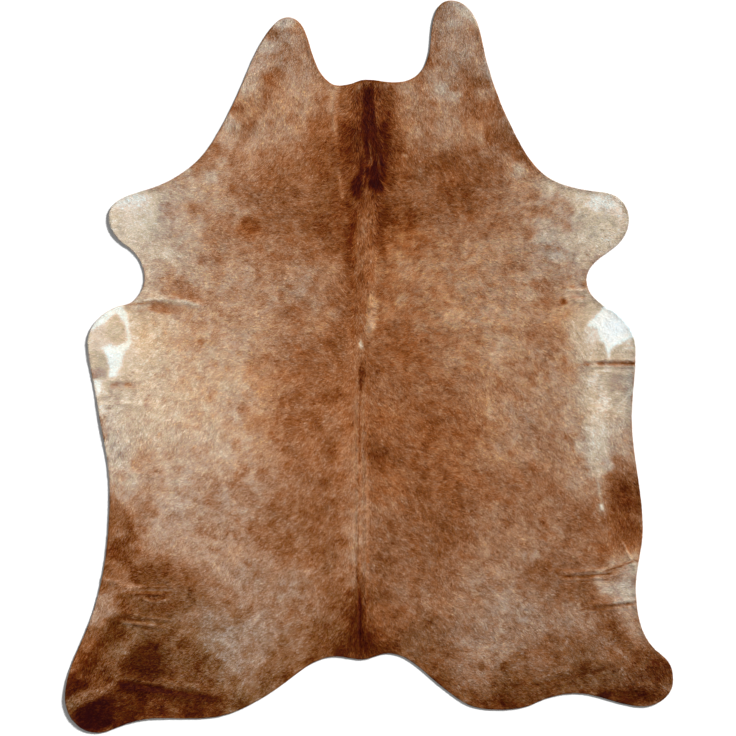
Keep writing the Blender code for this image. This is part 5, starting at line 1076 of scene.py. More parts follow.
# Direction in which the hair lies, root to tip.  Along the spine, the withers
# and the mane it turns towards the tail.
SPINE_X = -2.7
GROWTH = (
    # name                        x      y   heading
    ("left ear tip",           -24.3,  102.8,  -115),
    ("left ear",               -29.7,   89.2,  -112),
    ("left ear root",          -20.7,   81.8,  -112),
    ("poll left",              -11.7,   75.8,  -110),
    ("neck left",              -20.7,   71.2,  -120),
    ("neck edge left",         -35.7,   75.8,   -75),
    ("neck low left",          -20.7,   61.6,  -132),
    ("neck side left",         -35.1,   62.2,  -130),
    ("left jaw",               -46.2,   60.8,  -160),
    ("left shoulder",          -20.7,   48.8,  -172),
    ("left scapula",           -35.1,   47.9,   175),
    ("left arm",               -49.2,   46.6,   178),
    ("left foreleg",           -62.7,   48.1,   177),
    ("left fore tip",          -73.2,   45.8,   176),
    ("left fore low",          -68.7,   36.8,  -160),
    ("left withers",           -13.2,   47.2,  -160),
    ("left withers low",       -14.1,   33.8,   168),
    ("left rib top",           -21.3,   34.6,   173),
    ("left rib",               -34.2,   34.0,  -168),
    ("left rib out",           -48.3,   33.8,   168),
    ("left armpit",            -62.1,   31.6,  -163),
    ("left saddle top",        -10.2,   20.2,   150),
    ("left saddle",            -20.7,   20.2,   176),
    ("left saddle mid",        -34.5,   20.2,  -172),
    ("left saddle out",        -48.3,   20.8,  -168),
    ("left armpit low",        -62.7,   20.2,   179),
    ("left elbow",             -77.1,    6.8,  -175),
    ("left back a",            -13.2,    6.8,   178),
    ("left back b",            -22.2,    6.5,  -179),
    ("left back c",            -34.8,    6.8,  -170),
    ("left back d",            -48.6,    6.5,  -155),
    ("left back e",            -62.7,    6.5,  -154),
    ("left back f",            -11.7,   -6.8,  -150),
    ("left back g",            -21.3,   -7.0,  -160),
    ("left back h",            -35.1,   -6.8,  -157),
    ("left back i",            -48.6,   -7.3,  -154),
    ("left back j",            -62.4,   -6.8,  -147),
    ("left belly a",           -75.9,   -7.3,  -168),
    ("left loin a",            -11.7,  -20.6,  -140),
    ("left loin b",            -21.0,  -20.8,  -146),
    ("left loin c",            -34.8,  -20.8,  -150),
    ("left loin d",            -48.6,  -20.6,  -135),
    ("left loin e",            -61.8,  -20.8,  -122),
    ("left belly b",           -75.3,  -21.8,  -105),
    ("left croup a",           -12.3,  -34.6,  -130),
    ("left croup b",           -21.3,  -34.4,  -141),
    ("left croup c",           -34.8,  -34.9,  -149),
    ("left croup d",           -48.6,  -34.4,  -147),
    ("left croup e",           -62.4,  -34.9,  -150),
    ("left flank a",           -75.3,  -36.8,  -120),
    ("left hip a",             -13.2,  -48.4,  -135),
    ("left hip b",             -21.3,  -48.8,  -152),
    ("left hip c",             -35.1,  -48.1,  -155),
    ("left hip d",             -48.6,  -48.8,  -143),
    ("left hip e",             -62.7,  -48.8,  -150),
    ("left stifle",            -75.3,  -51.8,  -115),
    ("left rump a",            -13.2,  -62.2,  -128),
    ("left rump b",            -21.3,  -62.2,  -138),
    ("left rump c",            -35.1,  -62.5,  -147),
    ("left rump d",            -48.6,  -61.9,  -154),
    ("left hock a",            -62.7,  -62.5,  -178),
    ("left hock b",            -75.9,  -69.8,  -130),
    ("left rump e",            -11.7,  -75.8,  -125),
    ("left rump f",            -21.3,  -76.3,  -152),
    ("left rump g",            -34.5,  -75.8,  -155),
    ("left rump h",            -48.9,  -76.3,  -156),
    ("left shank a",           -62.7,  -76.3,  -172),
    ("left shank b",           -77.7,  -81.8,  -130),
    ("left tail a",            -20.7,  -84.8,  -140),
    ("left thigh a",           -35.1,  -89.8,  -145),
    ("left thigh b",           -48.6,  -90.1,  -162),
    ("left shank c",           -62.7,  -90.1,  -174),
    ("left shank d",           -82.2,  -90.8,  -122),
    ("left foot a",            -75.9, -103.3,  -158),
    ("left foot b",            -56.7,  -99.8,  -165),
    ("left foot c",            -86.7,  -99.8,  -140),
    ("right ear tip",           26.7,  104.2,   -90),
    ("right ear",               30.3,   92.2,   -78),
    ("right ear root",          20.4,   86.2,   -83),
    ("poll right",               9.3,   77.2,   -82),
    ("neck right a",            20.4,   75.8,   -82),
    ("neck right b",            34.2,   75.8,   -84),
    ("neck low right",          10.8,   63.8,   -65),
    ("neck side right",         20.4,   61.9,   -42),
    ("neck edge right",         34.2,   62.2,   -42),
    ("right jaw",               42.3,   65.2,   -55),
    ("right withers",            9.3,   48.8,    15),
    ("right scapula",           20.4,   48.1,     2),
    ("right shoulder",          34.2,   48.1,     2),
    ("right arm",               48.0,   48.4,     8),
    ("right foreleg",           61.8,   47.9,    12),
    ("right fore tip",          72.9,   45.8,     4),
    ("right fore low",          69.3,   36.8,   -20),
    ("right withers low",        7.8,   34.4,    28),
    ("right rib top",           20.4,   34.4,     3),
    ("right rib",               34.2,   34.0,    -1),
    ("right rib out",           48.0,   34.4,   -12),
    ("right armpit",            61.8,   34.4,     5),
    ("right saddle top",         7.2,   20.8,    25),
    ("right saddle",            20.4,   20.6,    10),
    ("right saddle mid",        34.2,   20.6,     4),
    ("right saddle out",        48.0,   20.2,   -25),
    ("right armpit low",        61.8,   20.2,     0),
    ("right elbow",             72.9,    9.8,   -40),
    ("right back a",             7.8,    8.2,    10),
    ("right back b",            20.4,    6.8,     8),
    ("right back c",            34.2,    6.5,    -4),
    ("right back d",            48.0,    6.8,   -36),
    ("right back e",            61.8,    6.5,   -50),
    ("right back f",             7.8,   -6.1,   -45),
    ("right back g",            20.4,   -7.0,   -18),
    ("right back h",            34.2,   -6.8,   -46),
    ("right back i",            48.0,   -7.3,   -46),
    ("right back j",            61.8,   -6.8,   -58),
    ("right belly a",           74.7,   -7.3,   -20),
    ("right loin a",             7.2,  -20.8,   -45),
    ("right loin b",            20.4,  -20.6,   -30),
    ("right loin c",            34.2,  -20.8,   -36),
    ("right loin d",            48.0,  -21.1,   -42),
    ("right loin e",            61.8,  -20.8,   -44),
    ("right belly b",           74.7,  -21.8,   -56),
    ("right croup a",            7.2,  -34.6,   -43),
    ("right croup b",           20.4,  -34.9,   -18),
    ("right croup c",           34.2,  -34.4,   -27),
    ("right croup d",           48.0,  -34.9,   -33),
    ("right croup e",           61.8,  -34.6,   -40),
    ("right flank",             74.7,  -35.2,   -57),
    ("right hip a",              7.2,  -48.8,   -46),
    ("right hip b",             20.4,  -48.4,   -42),
    ("right hip c",             34.2,  -48.8,   -46),
    ("right hip d",             48.0,  -48.4,   -46),
    ("right hip e",             61.8,  -48.1,   -30),
    ("right stifle",            75.3,  -48.8,   -85),
    ("right rump a",             7.2,  -62.5,   -40),
    ("right rump b",            20.4,  -62.2,   -40),
    ("right rump c",            34.2,  -62.5,   -30),
    ("right rump d",            48.0,  -62.2,   -42),
    ("right rump e",            60.9,  -62.8,   -10),
    ("right hock a",            74.7,  -63.8,    -5),
    ("right rump f",             7.2,  -76.3,   -48),
    ("right rump g",            20.4,  -76.0,   -34),
    ("right rump h",            34.2,  -76.3,   -30),
    ("right rump i",            48.0,  -76.0,   -36),
    ("right rump j",            61.8,  -76.6,   -20),
    ("right hock b",            74.7,  -77.2,   -30),
    ("right tail a",             9.3,  -86.2,   -40),
    ("right thigh a",           20.4,  -89.8,   -29),
    ("right thigh b",           34.2,  -90.1,   -10),
    ("right thigh c",           48.0,  -89.8,   -12),
    ("right thigh d",           61.8,  -90.1,   -28),
    ("right foot a",            75.3,  -91.3,   -30),
    ("right foot b",            84.9,  -90.8,   -38),
    ("right foot c",            57.3,  -98.2,   -10),
    ("right foot d",            78.3,  -98.0,   -12),
    ("mane left a",             -6.6,   78.8,  -168),
    ("mane left b",             -6.9,   66.8,  -155),
    ("mane left c",             -7.2,   56.2,  -146),
    ("mane right a",             6.0,   78.8,   -55),
    ("mane right b",             6.3,   66.8,   -26),
    ("mane right c",             7.2,   56.2,   -14),
)

# Places where the hair is longer or shorter than on the body.
HAIR_LENGTHS = (
    # name                          x      y     rx    ry  angle  length, mm
    ("mane",                       -0.9,   68.2,   6.6,  21.0,    0,    20),
    ("mane foot",                   0.3,   54.8,   4.2,   4.8,    0,    24),
    ("withers band",               -1.2,   36.8,   3.6,  15.0,    0,    13),
    ("left ear",                  -28.2,   86.2,  15.0,  12.0,   70,     8),
    ("right ear",                  26.7,   89.2,  18.0,  10.5,  -80,     8),
    ("left foreleg",              -68.7,   43.6,  12.0,  10.8,    0,     7),
    ("right foreleg",              69.3,   42.8,  12.0,  10.8,    0,     7),
    ("left hind leg",             -77.7,  -96.8,  16.5,  12.0,    0,    10),
    ("right hind leg",             81.3,  -93.8,  13.5,   9.0,    0,    10),
    ("tail root",                  -2.7,  -81.8,   4.2,   7.2,    0,    13),
    ("left elbow",                -77.1,    6.8,   7.8,  12.0,    0,     7),
    ("right elbow",                72.9,    9.8,   7.8,  12.0,    0,     7),
)

COAT_LENGTH = 8.5 * MM

# Places where the locks differ more or less in colour than on the body.
HAIR_VARIETY = (
    # name                          x      y     rx    ry  angle   share
    ("mane",                        0.3,   68.2,   6.6,  19.8,    0,   2.2),
    ("withers band",               -0.9,   36.8,   4.2,  16.2,    0,   1.3),
    ("left elbow",                -78.3,    6.8,   7.8,  12.0,    0,   0.5),
    ("right elbow",                73.8,   11.8,   6.6,   6.0,    0,   0.2),
    ("left foreleg",              -70.2,   45.8,  10.2,   9.0,    0,   0.6),
    ("right foreleg",              70.8,   45.8,  10.2,   9.0,    0,   0.7),
    ("right elbow white",          72.9,   13.0,   7.2,   7.2,    0,   0.1),
    ("left elbow white",          -77.1,    3.4,   3.0,   6.6,    0,   0.2),
    ("left elbow white top",      -78.9,   16.1,   6.0,   3.0,   20,   0.2),
    ("left elbow spots",          -78.3,    9.4,   6.6,   7.2,    0,   0.4),
    ("left elbow foot",           -79.5,    0.4,   4.2,   4.8,    0,   0.4),
    ("left hind foot",            -74.7,  -98.5,  21.0,  10.2,    0,   1.7),
    ("right hind foot",            81.3,  -95.5,  12.0,   8.4,    0,   1.5),
    ("right elbow low",            73.5,   -4.3,   4.2,   4.8,    0,   0.4),
)

# The hair's own colour at each tone, in linear light: dark brown through rust
# and tan to white.
COAT_COLOURS = (
    # tone    r       g       b
    (10,  0.0196, 0.0012, 0.0012),
    (30,  0.0297, 0.0008, 0.0008),
    (45,  0.0847, 0.0126, 0.0008),
    (60,  0.1071, 0.0193, 0.0008),
    (75,  0.1546, 0.0514, 0.0061),
    (90,  0.2598, 0.0888, 0.0254),
    (105, 0.2479, 0.1098, 0.0548),
    (120, 0.3406, 0.1642, 0.0736),
    (135, 0.4268, 0.2395, 0.1479),
    (150, 0.4185, 0.2917, 0.2376),
    (165, 0.4754, 0.3798, 0.2750),
    (180, 0.5757, 0.4798, 0.3117),
    (195, 0.7125, 0.5454, 0.4415),
    (210, 0.7178, 0.6339, 0.5290),
    (225, 0.7838, 0.8838, 0.8535),
    (245, 0.9278, 0.8771, 0.8031),
)

# ------------------------------------------------------------------ the raster
STEP = 1.5 * MM
HALF_X, HALF_Y = 0.936, 1.122
NX, NY = int(2 * HALF_X / STEP) + 1, int(2 * HALF_Y / STEP) + 1


def smooth(t):
    t = np.clip(t, 0.0, 1.0)
    return t * t * (3.0 - 2.0 * t)


def raster_points():
    """x and y of every cell, in metres, as two arrays with one row per y."""
    x = -HALF_X + STEP * np.arange(NX)
    y = -HALF_Y + STEP * np.arange(NY)
    return np.meshgrid(x, y)


def sample(field, x, y):
    """Value of a raster at the given points, between its cells."""
    fx = np.clip((np.asarray(x) + HALF_X) / STEP, 0.0, NX - 1.001)
    fy = np.clip((np.asarray(y) + HALF_Y) / STEP, 0.0, NY - 1.001)
    ix, iy = fx.astype(np.int32), fy.astype(np.int32)
    tx, ty = (fx - ix).astype(np.float32), (fy - iy).astype(np.float32)
    low = field[iy, ix] * (1 - tx) + field[iy, ix + 1] * tx
    high = field[iy + 1, ix] * (1 - tx) + field[iy + 1, ix + 1] * tx
    return low * (1 - ty) + high * ty


def spread(coarse, count, axis):
    """Smooth resampling of an array to count places along one axis."""
    coarse = np.moveaxis(coarse, axis, 0)
    n = coarse.shape[0] - 3
    place = np.linspace(0.0, n - 1e-6, count)
    i = place.astype(int)
    t = (place - i)[:, None].astype(np.float32)
    weights = ((1 - t) ** 3 / 6, (3 * t ** 3 - 6 * t ** 2 + 4) / 6,
               (-3 * t ** 3 + 3 * t ** 2 + 3 * t + 1) / 6, t ** 3 / 6)
    fine = sum(w * coarse[i + k] for k, w in enumerate(weights))
    return np.moveaxis(fine, 0, axis)


def noise(size, seed, stretch=1.0):
    """Smooth noise over the raster with features about size wide, spread 1."""
    rng = np.random.default_rng(seed)
    rows = max(int(2 * HALF_Y / (size * stretch)), 2) + 3
    cols = max(int(2 * HALF_X / size), 2) + 3
    coarse = rng.standard_normal((rows, cols)).astype(np.float32)
    fine = spread(spread(coarse, NY, 0), NX, 1)
    return (fine / max(float(fine.std()), 1e-6)).astype(np.float32)


def fractal(size, octaves, gain, seed):
    total = np.zeros((NY, NX), np.float32)
    for k in range(octaves):
        total += gain ** k * noise(size / 2 ** k, seed + 17 * k)
    return total / float(total.std())


def ellipse(x, y, cx, cy, rx, ry, angle):
    """Distance from a patch's centre, 1 on its border."""
    c, s = math.cos(math.radians(angle)), math.sin(math.radians(angle))
    dx, dy = x - cx * CM, y - cy * CM
    return np.hypot((dx * c + dy * s) / (rx * CM), (dy * c - dx * s) / (ry * CM))


def along_line(x, y, x0, y0, x1, y1, bow):
    """Share of the way along a bowed line, and the distance to its left."""
    ax, ay, bx, by = x0 * CM, y0 * CM, x1 * CM, y1 * CM
    length = math.hypot(bx - ax, by - ay)
    tx, ty = (bx - ax) / length, (by - ay) / length
    along = ((x - ax) * tx + (y - ay) * ty) / length
    u = np.clip(along, 0.0, 1.0)
    aside = (y - ay) * tx - (x - ax) * ty - bow * CM * 4.0 * u * (1.0 - u)
    return along, aside, length


# ------------------------------------------------------------------ the sheet
def outline(steps):
    """Points of the cut edge, steps of them between two landmarks."""
    rows = [(Vector((x * CM, y * CM)),
             Vector((math.cos(math.radians(h)), math.sin(math.radians(h)))))
            for _, x, y, h in OUTLINE]
    points = []
    for i, (p0, d0) in enumerate(rows):
        p3, d3 = rows[(i + 1) % len(rows)]
        reach = (p3 - p0).length / (3.0 * math.cos(d0.angle(d3, 0.0) / 4.0) ** 2)
        p1, p2 = p0 + d0 * reach, p3 - d3 * reach
        for k in range(steps):
            t = k / steps
            points.append((1 - t) ** 3 * p0 + 3 * t * (1 - t) ** 2 * p1
                          + 3 * t * t * (1 - t) * p2 + t ** 3 * p3)
    return np.array([(p.x, p.y) for p in points])


def even_loop(points, spacing):
    """The same closed line with points the same distance apart."""
    closed = np.vstack([points, points[:1]])
    run = np.concatenate([[0.0], np.cumsum(np.hypot(*np.diff(closed, axis=0).T))])
    count = int(round(run[-1] / spacing))
    at = np.arange(count) * run[-1] / count
    return np.stack([np.interp(at, run, closed[:, k]) for k in (0, 1)], 1)


def inside_mask(loop, x, y):
    """True where a raster row's cells lie inside the closed line."""
    found = np.zeros(x.shape, bool)
    nxt = np.roll(loop, -1, axis=0)
    rows, cols = y[:, 0], x[0]
    for j, level in enumerate(rows):
        cross = (loop[:, 1] <= level) != (nxt[:, 1] <= level)
        if cross.any():
            a, b = loop[cross], nxt[cross]
            at = np.sort(a[:, 0] + (level - a[:, 1]) * (b[:, 0] - a[:, 0]) / (b[:, 1] - a[:, 1]))
            found[j] = np.searchsorted(at, cols) % 2 == 1
    return found


def edge_distance(loop, x, y, reach=0.06):
    """Distance to the cut edge over the raster, positive inside, up to reach."""
    far = np.full(x.shape, reach, np.float32)
    n = int(reach / STEP) + 1
    nxt = np.roll(loop, -1, axis=0)
    for a, b in zip(loop[::2], nxt[1::2]):
        i = int(round((a[0] + HALF_X) / STEP))
        j = int(round((a[1] + HALF_Y) / STEP))
        rows, cols = slice(max(j - n, 0), j + n + 1), slice(max(i - n, 0), i + n + 1)
        px, py = x[rows, cols] - a[0], y[rows, cols] - a[1]
        ex, ey = b[0] - a[0], b[1] - a[1]
        t = np.clip((px * ex + py * ey) / (ex * ex + ey * ey), 0.0, 1.0)
        near = np.hypot(px - t * ex, py - t * ey).astype(np.float32)
        far[rows, cols] = np.minimum(far[rows, cols], near)
    return np.where(inside_mask(loop, x, y), far, -far)


def fold_height(x, y):
    """How far the sheet's underside stands off the floor, in metres."""
    x, y = np.asarray(x, float), np.asarray(y, float)
    total = np.zeros_like(x)
    for name, kind, x0, y0, x1, y1, bow, height, width in FOLDS:
        along, aside, length = along_line(x, y, x0, y0, x1, y1, bow)
        t2 = np.clip((aside / (width * CM)) ** 2, 0.0, 1.0)
        across = (1.0 - t2) ** 2
        if kind == "valley":
            across = 6.75 * t2 * across
        end = smooth(np.minimum(along, 1.0 - along) / 0.22)
        total = np.maximum(total, SETTLE * height * MM * across * end)
    for name, cx, cy, radius, lift in EDGE_LIFTS:
        r2 = np.clip(((x - cx * CM) ** 2 + (y - cy * CM) ** 2) / (radius * CM) ** 2, 0.0, 1.0)
        total = total + lift * MM * (1.0 - r2) ** 2
    return total


# ------------------------------------------------------------ growth and tone
def growth_field(x, y):
    """Unit direction in which the hair lies, over the raster."""
    coarse = 12
    cx, cy = x[::coarse, ::coarse], y[::coarse, ::coarse]
    vx, vy = np.zeros_like(cx), np.zeros_like(cx)
    for name, px, py, heading in GROWTH:
        angle = math.radians(heading)
        w = 1.0 / (((cx - px * CM) ** 2 + (cy - py * CM) ** 2) / 0.06 ** 2 + 0.3) ** 2
        vx += w * math.cos(angle)
        vy += w * math.sin(angle)
    size = np.maximum(np.hypot(vx, vy), 1e-6)
    vx, vy = vx / size, vy / size
    # Back to the raster: the coarse cells sit at every twelfth fine one.
    fi = np.arange(NX) / coarse
    fj = np.arange(NY) / coarse
    i, j = np.minimum(fi.astype(int), cx.shape[1] - 2), np.minimum(fj.astype(int), cx.shape[0] - 2)
    ti, tj = np.clip(fi - i, 0, 1), np.clip(fj - j, 0, 1)[:, None]

    def fine(v):
        rows = v[j] * (1 - tj) + v[j + 1] * tj
        return rows[:, i] * (1 - ti) + rows[:, i + 1] * ti

    vx, vy = fine(vx), fine(vy)
    mane = np.exp(-((x + 0.003) / 0.032) ** 2) * smooth((y - 0.10) / 0.15)
    spine = np.maximum(mane, np.exp(-((x - SPINE_X * CM) / 0.024) ** 2))
    vx, vy = vx * (1.0 - spine), vy * (1.0 - spine) - spine
    angle = np.arctan2(vy, vx).astype(np.float32)
    angle += np.radians(6.0 * noise(60 * MM, 301) + 5.0 * noise(20 * MM, 302)
                        + (3.0 + 10.0 * mane) * noise(9 * MM, 303, 2.0))
    return np.cos(angle).astype(np.float32), np.sin(angle).astype(np.float32)


def drawn_out(field, gx, gy, x, y, steps):
    """The field blurred along the growth only, so spots become hair streaks."""
    total, count = field.copy(), 1
    for way in (1.0, -1.0):
        px, py = x.copy(), y.copy()
        for k in range(steps):
            px, py = px + way * STEP * sample(gx, px, py), py + way * STEP * sample(gy, px, py)
            total += sample(field, px, py)
            count += 1
    total /= count
    return (total - total.mean()) / float(total.std())


def painted_tone(x0, y0, push_x, push_y):
    """The large and small markings, without the coat's own mottling."""
    tone = np.full(x0.shape, float(BASE_TONE), np.float32)
    for name, cx, cy, rx, ry, angle, level, strength, soft in PATCHES:
        # Small marks keep their shape; the wide ones fray more.
        fray = min(max(min(rx, ry) / 5.0, 0.25), 1.0)
        reach = max(rx, ry) * CM * (1.0 + soft) + 0.02
        j0, j1 = np.searchsorted(y_line, (cy * CM - reach, cy * CM + reach))
        i0, i1 = np.searchsorted(x_line, (cx * CM - reach, cx * CM + reach))
        if i1 <= i0 or j1 <= j0:
            continue
        at = np.s_[j0:j1, i0:i1]
        r = ellipse(x0[at] + fray * push_x[at], y0[at] + fray * push_y[at], cx, cy, rx, ry, angle)
        w = strength * (1.0 - smooth((r - (1.0 - soft)) / (2.0 * soft)))
        tone[at] += ((level - tone[at]) * w).astype(np.float32)
    return tone


def drawn_shapes(tone, x0, y0, push_x, push_y):
    """Adds the marks that have an outline of their own."""
    for name, level, strength, soft, corners in SHAPES:
        line = np.array(corners) * CM
        low, high = line.min(0) - soft * CM - 0.01, line.max(0) + soft * CM + 0.01
        j0, j1 = np.searchsorted(y_line, (low[1], high[1]))
        i0, i1 = np.searchsorted(x_line, (low[0], high[0]))
        at = np.s_[j0:j1, i0:i1]
        x, y = x0[at] + 0.35 * push_x[at], y0[at] + 0.35 * push_y[at]
        near = np.full(x.shape, 9.0)
        odd = np.zeros(x.shape, bool)
        for (ax, ay), (bx, by) in zip(line, np.roll(line, -1, axis=0)):
            ex, ey = bx - ax, by - ay
            t = np.clip(((x - ax) * ex + (y - ay) * ey) / (ex * ex + ey * ey), 0.0, 1.0)
            near = np.minimum(near, np.hypot(x - ax - t * ex, y - ay - t * ey))
            if ey != 0.0:
                odd ^= ((ay <= y) != (by <= y)) & (ax + (y - ay) * ex / ey > x)
        depth = np.where(odd, near, -near)
        w = strength * smooth(depth / (2.0 * soft * CM) + 0.5)
        tone[at] += ((level - tone[at]) * w).astype(np.float32)
    return tone


def streaked(tone, x, y):
    """Adds the narrow marks to the tone."""
    for name, x0, y0, x1, y1, bow, width, level, strength in STREAKS:
        reach = (abs(bow) + 4.0 * width) * CM
        j0, j1 = np.searchsorted(y_line, (min(y0, y1) * CM - reach, max(y0, y1) * CM + reach))
        i0, i1 = np.searchsorted(x_line, (min(x0, x1) * CM - reach, max(x0, x1) * CM + reach))
        at = np.s_[j0:j1, i0:i1]
        along, aside, length = along_line(x[at], y[at], x0, y0, x1, y1, bow)
        over = np.maximum(np.abs(along - 0.5) - 0.5, 0.0) * length
        taper = smooth(np.minimum(along, 1.0 - along) / 0.15 + 0.25)
        w = strength * taper * np.exp(-1.4 * (aside / (width * CM)) ** 2
                                      - (over / (width * CM)) ** 2)
        tone[at] += ((level - tone[at]) * w).astype(np.float32)
    return tone


def table_field(rows, start, x, y):
    """A smooth field from a short table of soft patches."""
    field = np.full(x.shape, start, np.float32)
    for name, cx, cy, rx, ry, angle, level in rows:
        w = np.exp(-1.1 * ellipse(x, y, cx, cy, rx, ry, angle) ** 2)
        field += ((level - field) * w).astype(np.float32)
    return field


x_line = -HALF_X + STEP * np.arange(NX)
y_line = -HALF_Y + STEP * np.arange(NY)
X, Y = raster_points()
rough_loop = outline(6)
SHIFT = -0.5 * (rough_loop.min(0) + rough_loop.max(0))
edge_loop = even_loop(outline(40), 4.6 * MM)
INSIDE = edge_distance(edge_loop, X, Y)
GX, GY = growth_field(X, Y)

# The markings have ragged borders: the coat's locks carry colour with them.
push_x = 2.4 * MM * noise(22 * MM, 11) + 1.5 * MM * noise(7 * MM, 12)
push_y = 2.4 * MM * noise(22 * MM, 13) + 1.5 * MM * noise(7 * MM, 14)
TONE = painted_tone(X, Y, push_x, push_y)
TONE = drawn_shapes(TONE, X, Y, push_x, push_y)
TONE = streaked(TONE, X + 0.25 * push_x, Y + 0.25 * push_y)

# Roan mottling: rust flecks that run together into blotches, and a net of
# paler veins.  On pale hair the flecks stand out dark; on very dark or white
# hair there is little of it.
bend_x = 6.0 * MM * noise(38 * MM, 21) + 2.0 * MM * noise(12 * MM, 23)
bend_y = 6.0 * MM * noise(38 * MM, 22) + 2.0 * MM * noise(12 * MM, 24)
flecks = (0.55 * drawn_out(noise(4.5 * MM, 61), GX, GY, X, Y, 1)
          + 0.85 * drawn_out(sample(noise(8.5 * MM, 62), X + bend_x, Y + bend_y), GX, GY, X, Y, 2)
          + 0.85 * sample(noise(15 * MM, 63), X + bend_x, Y + bend_y)
          + 0.45 * sample(noise(28 * MM, 64), X + bend_x, Y + bend_y))
flecks = np.minimum(flecks / float(flecks.std()), 2.3)
veins = np.exp(-np.abs(sample(fractal(26 * MM, 2, 0.5, 41), X + bend_x, Y + bend_y)) / 0.3)
veins = np.maximum(veins, 0.8 * np.exp(-np.abs(sample(noise(15 * MM, 42), X + bend_x, Y + bend_y)) / 0.3))
veins = (veins - veins.mean()) / float(veins.std())
cloud = fractal(85 * MM, 2, 0.6, 51)
hair_streaks = drawn_out(noise(2.2 * MM, 71), GX, GY, X, Y, 1)
VARIETY = table_field(HAIR_VARIETY, 1.0, X, Y)
room = np.minimum(VARIETY, 1.0) * (0.3 + 0.7 * smooth((TONE - 15.0) / 70.0)) * (1.0 - 0.8 * smooth((TONE - 195.0) / 40.0))
stand_out = 0.12 + 0.43 * smooth((TONE - 95.0) / 60.0)
dark = (np.exp(stand_out * flecks) - np.exp(0.5 * stand_out ** 2)) / stand_out
mottle = room * (6.0 * veins + 1.5 * cloud - 6.4 * dark)
TONE = TONE + mottle
# Hair whose tips point away from the light shows its lit backs and looks
# lighter than hair whose tips point towards it; the hair's colour there is
# painted darker by as much, a painted counter-shade that evens out the light.
lean_shade_and_rim_dark = 1.0 + 0.050 * GX + 0.034 * GY
# Within a few millimetres of the cut edge the hair's colour is a little darker.
lean_shade_and_rim_dark *= 1.0 - 0.16 * np.exp(-(np.maximum(INSIDE, 0.0) / (2.2 * MM)) ** 2)
HAIR_TONE = np.clip(TONE * lean_shade_and_rim_dark, 6.0, 252.0)
HAIR_STREAKED = np.clip((TONE + 9.0 * (0.35 + 0.65 * room) * hair_streaks) * lean_shade_and_rim_dark, 6.0, 252.0)

# Colour varies a little apart from tone: redder and yellower locks.
TINT = table_field(TINTS, 0.5, X, Y) * (1.0 - 0.6 * smooth((TONE - 140.0) / 60.0))
TINT = TINT + 0.2 * fractal(24 * MM, 3, 0.8, 81) * (1.0 - 0.6 * smooth((TONE - 140.0) / 60.0))
# The mottling is a change of tone more than of hue: its dark flecks on pale
# hair are greyer, and those on red-brown hair redder, than the markings.
TINT = TINT + mottle * (0.036 * smooth((TONE - 108.0) / 40.0) * (1.0 - 0.6 * smooth((TONE - 165.0) / 30.0)) - 0.018)
# Within a few millimetres of the cut edge the colour is also greyer.
TINT = TINT - 1.0 * np.exp(-(np.maximum(INSIDE, 0.0) / (3.0 * MM)) ** 2)
LENGTH = table_field(HAIR_LENGTHS, COAT_LENGTH / MM, X, Y) * MM
# === end of fields


def crease_height(x, y):
    """Small ridges and dents of the hair side on top of the folds."""
    total = np.zeros_like(x)
    for name, x0, y0, x1, y1, bow, height, width in CREASES:
        along, aside, length = along_line(x, y, x0, y0, x1, y1, bow)
        end = smooth(np.minimum(along, 1.0 - along) / 0.25)
        total += height * MM * end * np.exp(-2.0 * (aside / (width * CM)) ** 2)
    return total


def surface(x, y):
    """Height of the leather's hair side, in metres, in table coordinates."""
    inside = sample(INSIDE, x, y)
    near_edge = smooth(inside / (6 * MM))
    curl = CURL * (1.0 - smooth(inside / (16 * MM)))
    swell = 0.45 * MM * sample(SWELL, x, y)
    return (fold_height(x, y) + LEATHER + curl + (0.6 * MM + swell) * near_edge
            + sample(CREASED, x, y) * near_edge)


LEATHER = 2.0 * MM
SETTLE = 0.55                           # a hide that has lain a while flattens its wrinkles
CURL = 1.5 * MM                    # how far the cut edge turns up off the floor
COAT_TOP = 2.3 * MM                 # how far hair tips stand off the leather
SWELL = np.clip(noise(26 * MM, 91), -1.6, 1.6)
CREASED = crease_height(X, Y).astype(np.float32)
RING = 4.6 * MM                     # spacing of points along the rim


# --------------------------------------------------------------------- meshes
def new_mesh(name, verts, faces, counts):
    """Mesh object from flat arrays; counts holds each face's corner count."""
    mesh = bpy.data.meshes.new(name)
    mesh.vertices.add(len(verts))
    mesh.vertices.foreach_set("co", np.asarray(verts, np.float32).ravel())
    mesh.loops.add(len(faces))
    mesh.loops.foreach_set("vertex_index", np.asarray(faces, np.int32))
    starts = np.concatenate([[0], np.cumsum(counts)[:-1]]).astype(np.int32)
    mesh.polygons.add(len(counts))
    mesh.polygons.foreach_set("loop_start", starts)
    mesh.polygons.foreach_set("loop_total", np.asarray(counts, np.int32))
    mesh.update(calc_edges=True)
    piece = bpy.data.objects.new(name, mesh)
    bpy.context.scene.collection.objects.link(piece)
    return piece


def lay_points(spacing, margin):
    """Points of a triangular lattice on the hide, margin inside the edge."""
    rows = np.arange(-HALF_Y, HALF_Y, spacing * math.sqrt(0.75))
    cols = np.arange(-HALF_X, HALF_X, spacing)
    px, py = np.meshgrid(cols, rows)
    px = px + np.where(np.arange(len(rows)) % 2, 0.5 * spacing, 0.0)[:, None]
    px, py = px.ravel(), py.ravel()
    keep = sample(INSIDE, px, py) > margin
    return np.stack([px[keep], py[keep]], 1)


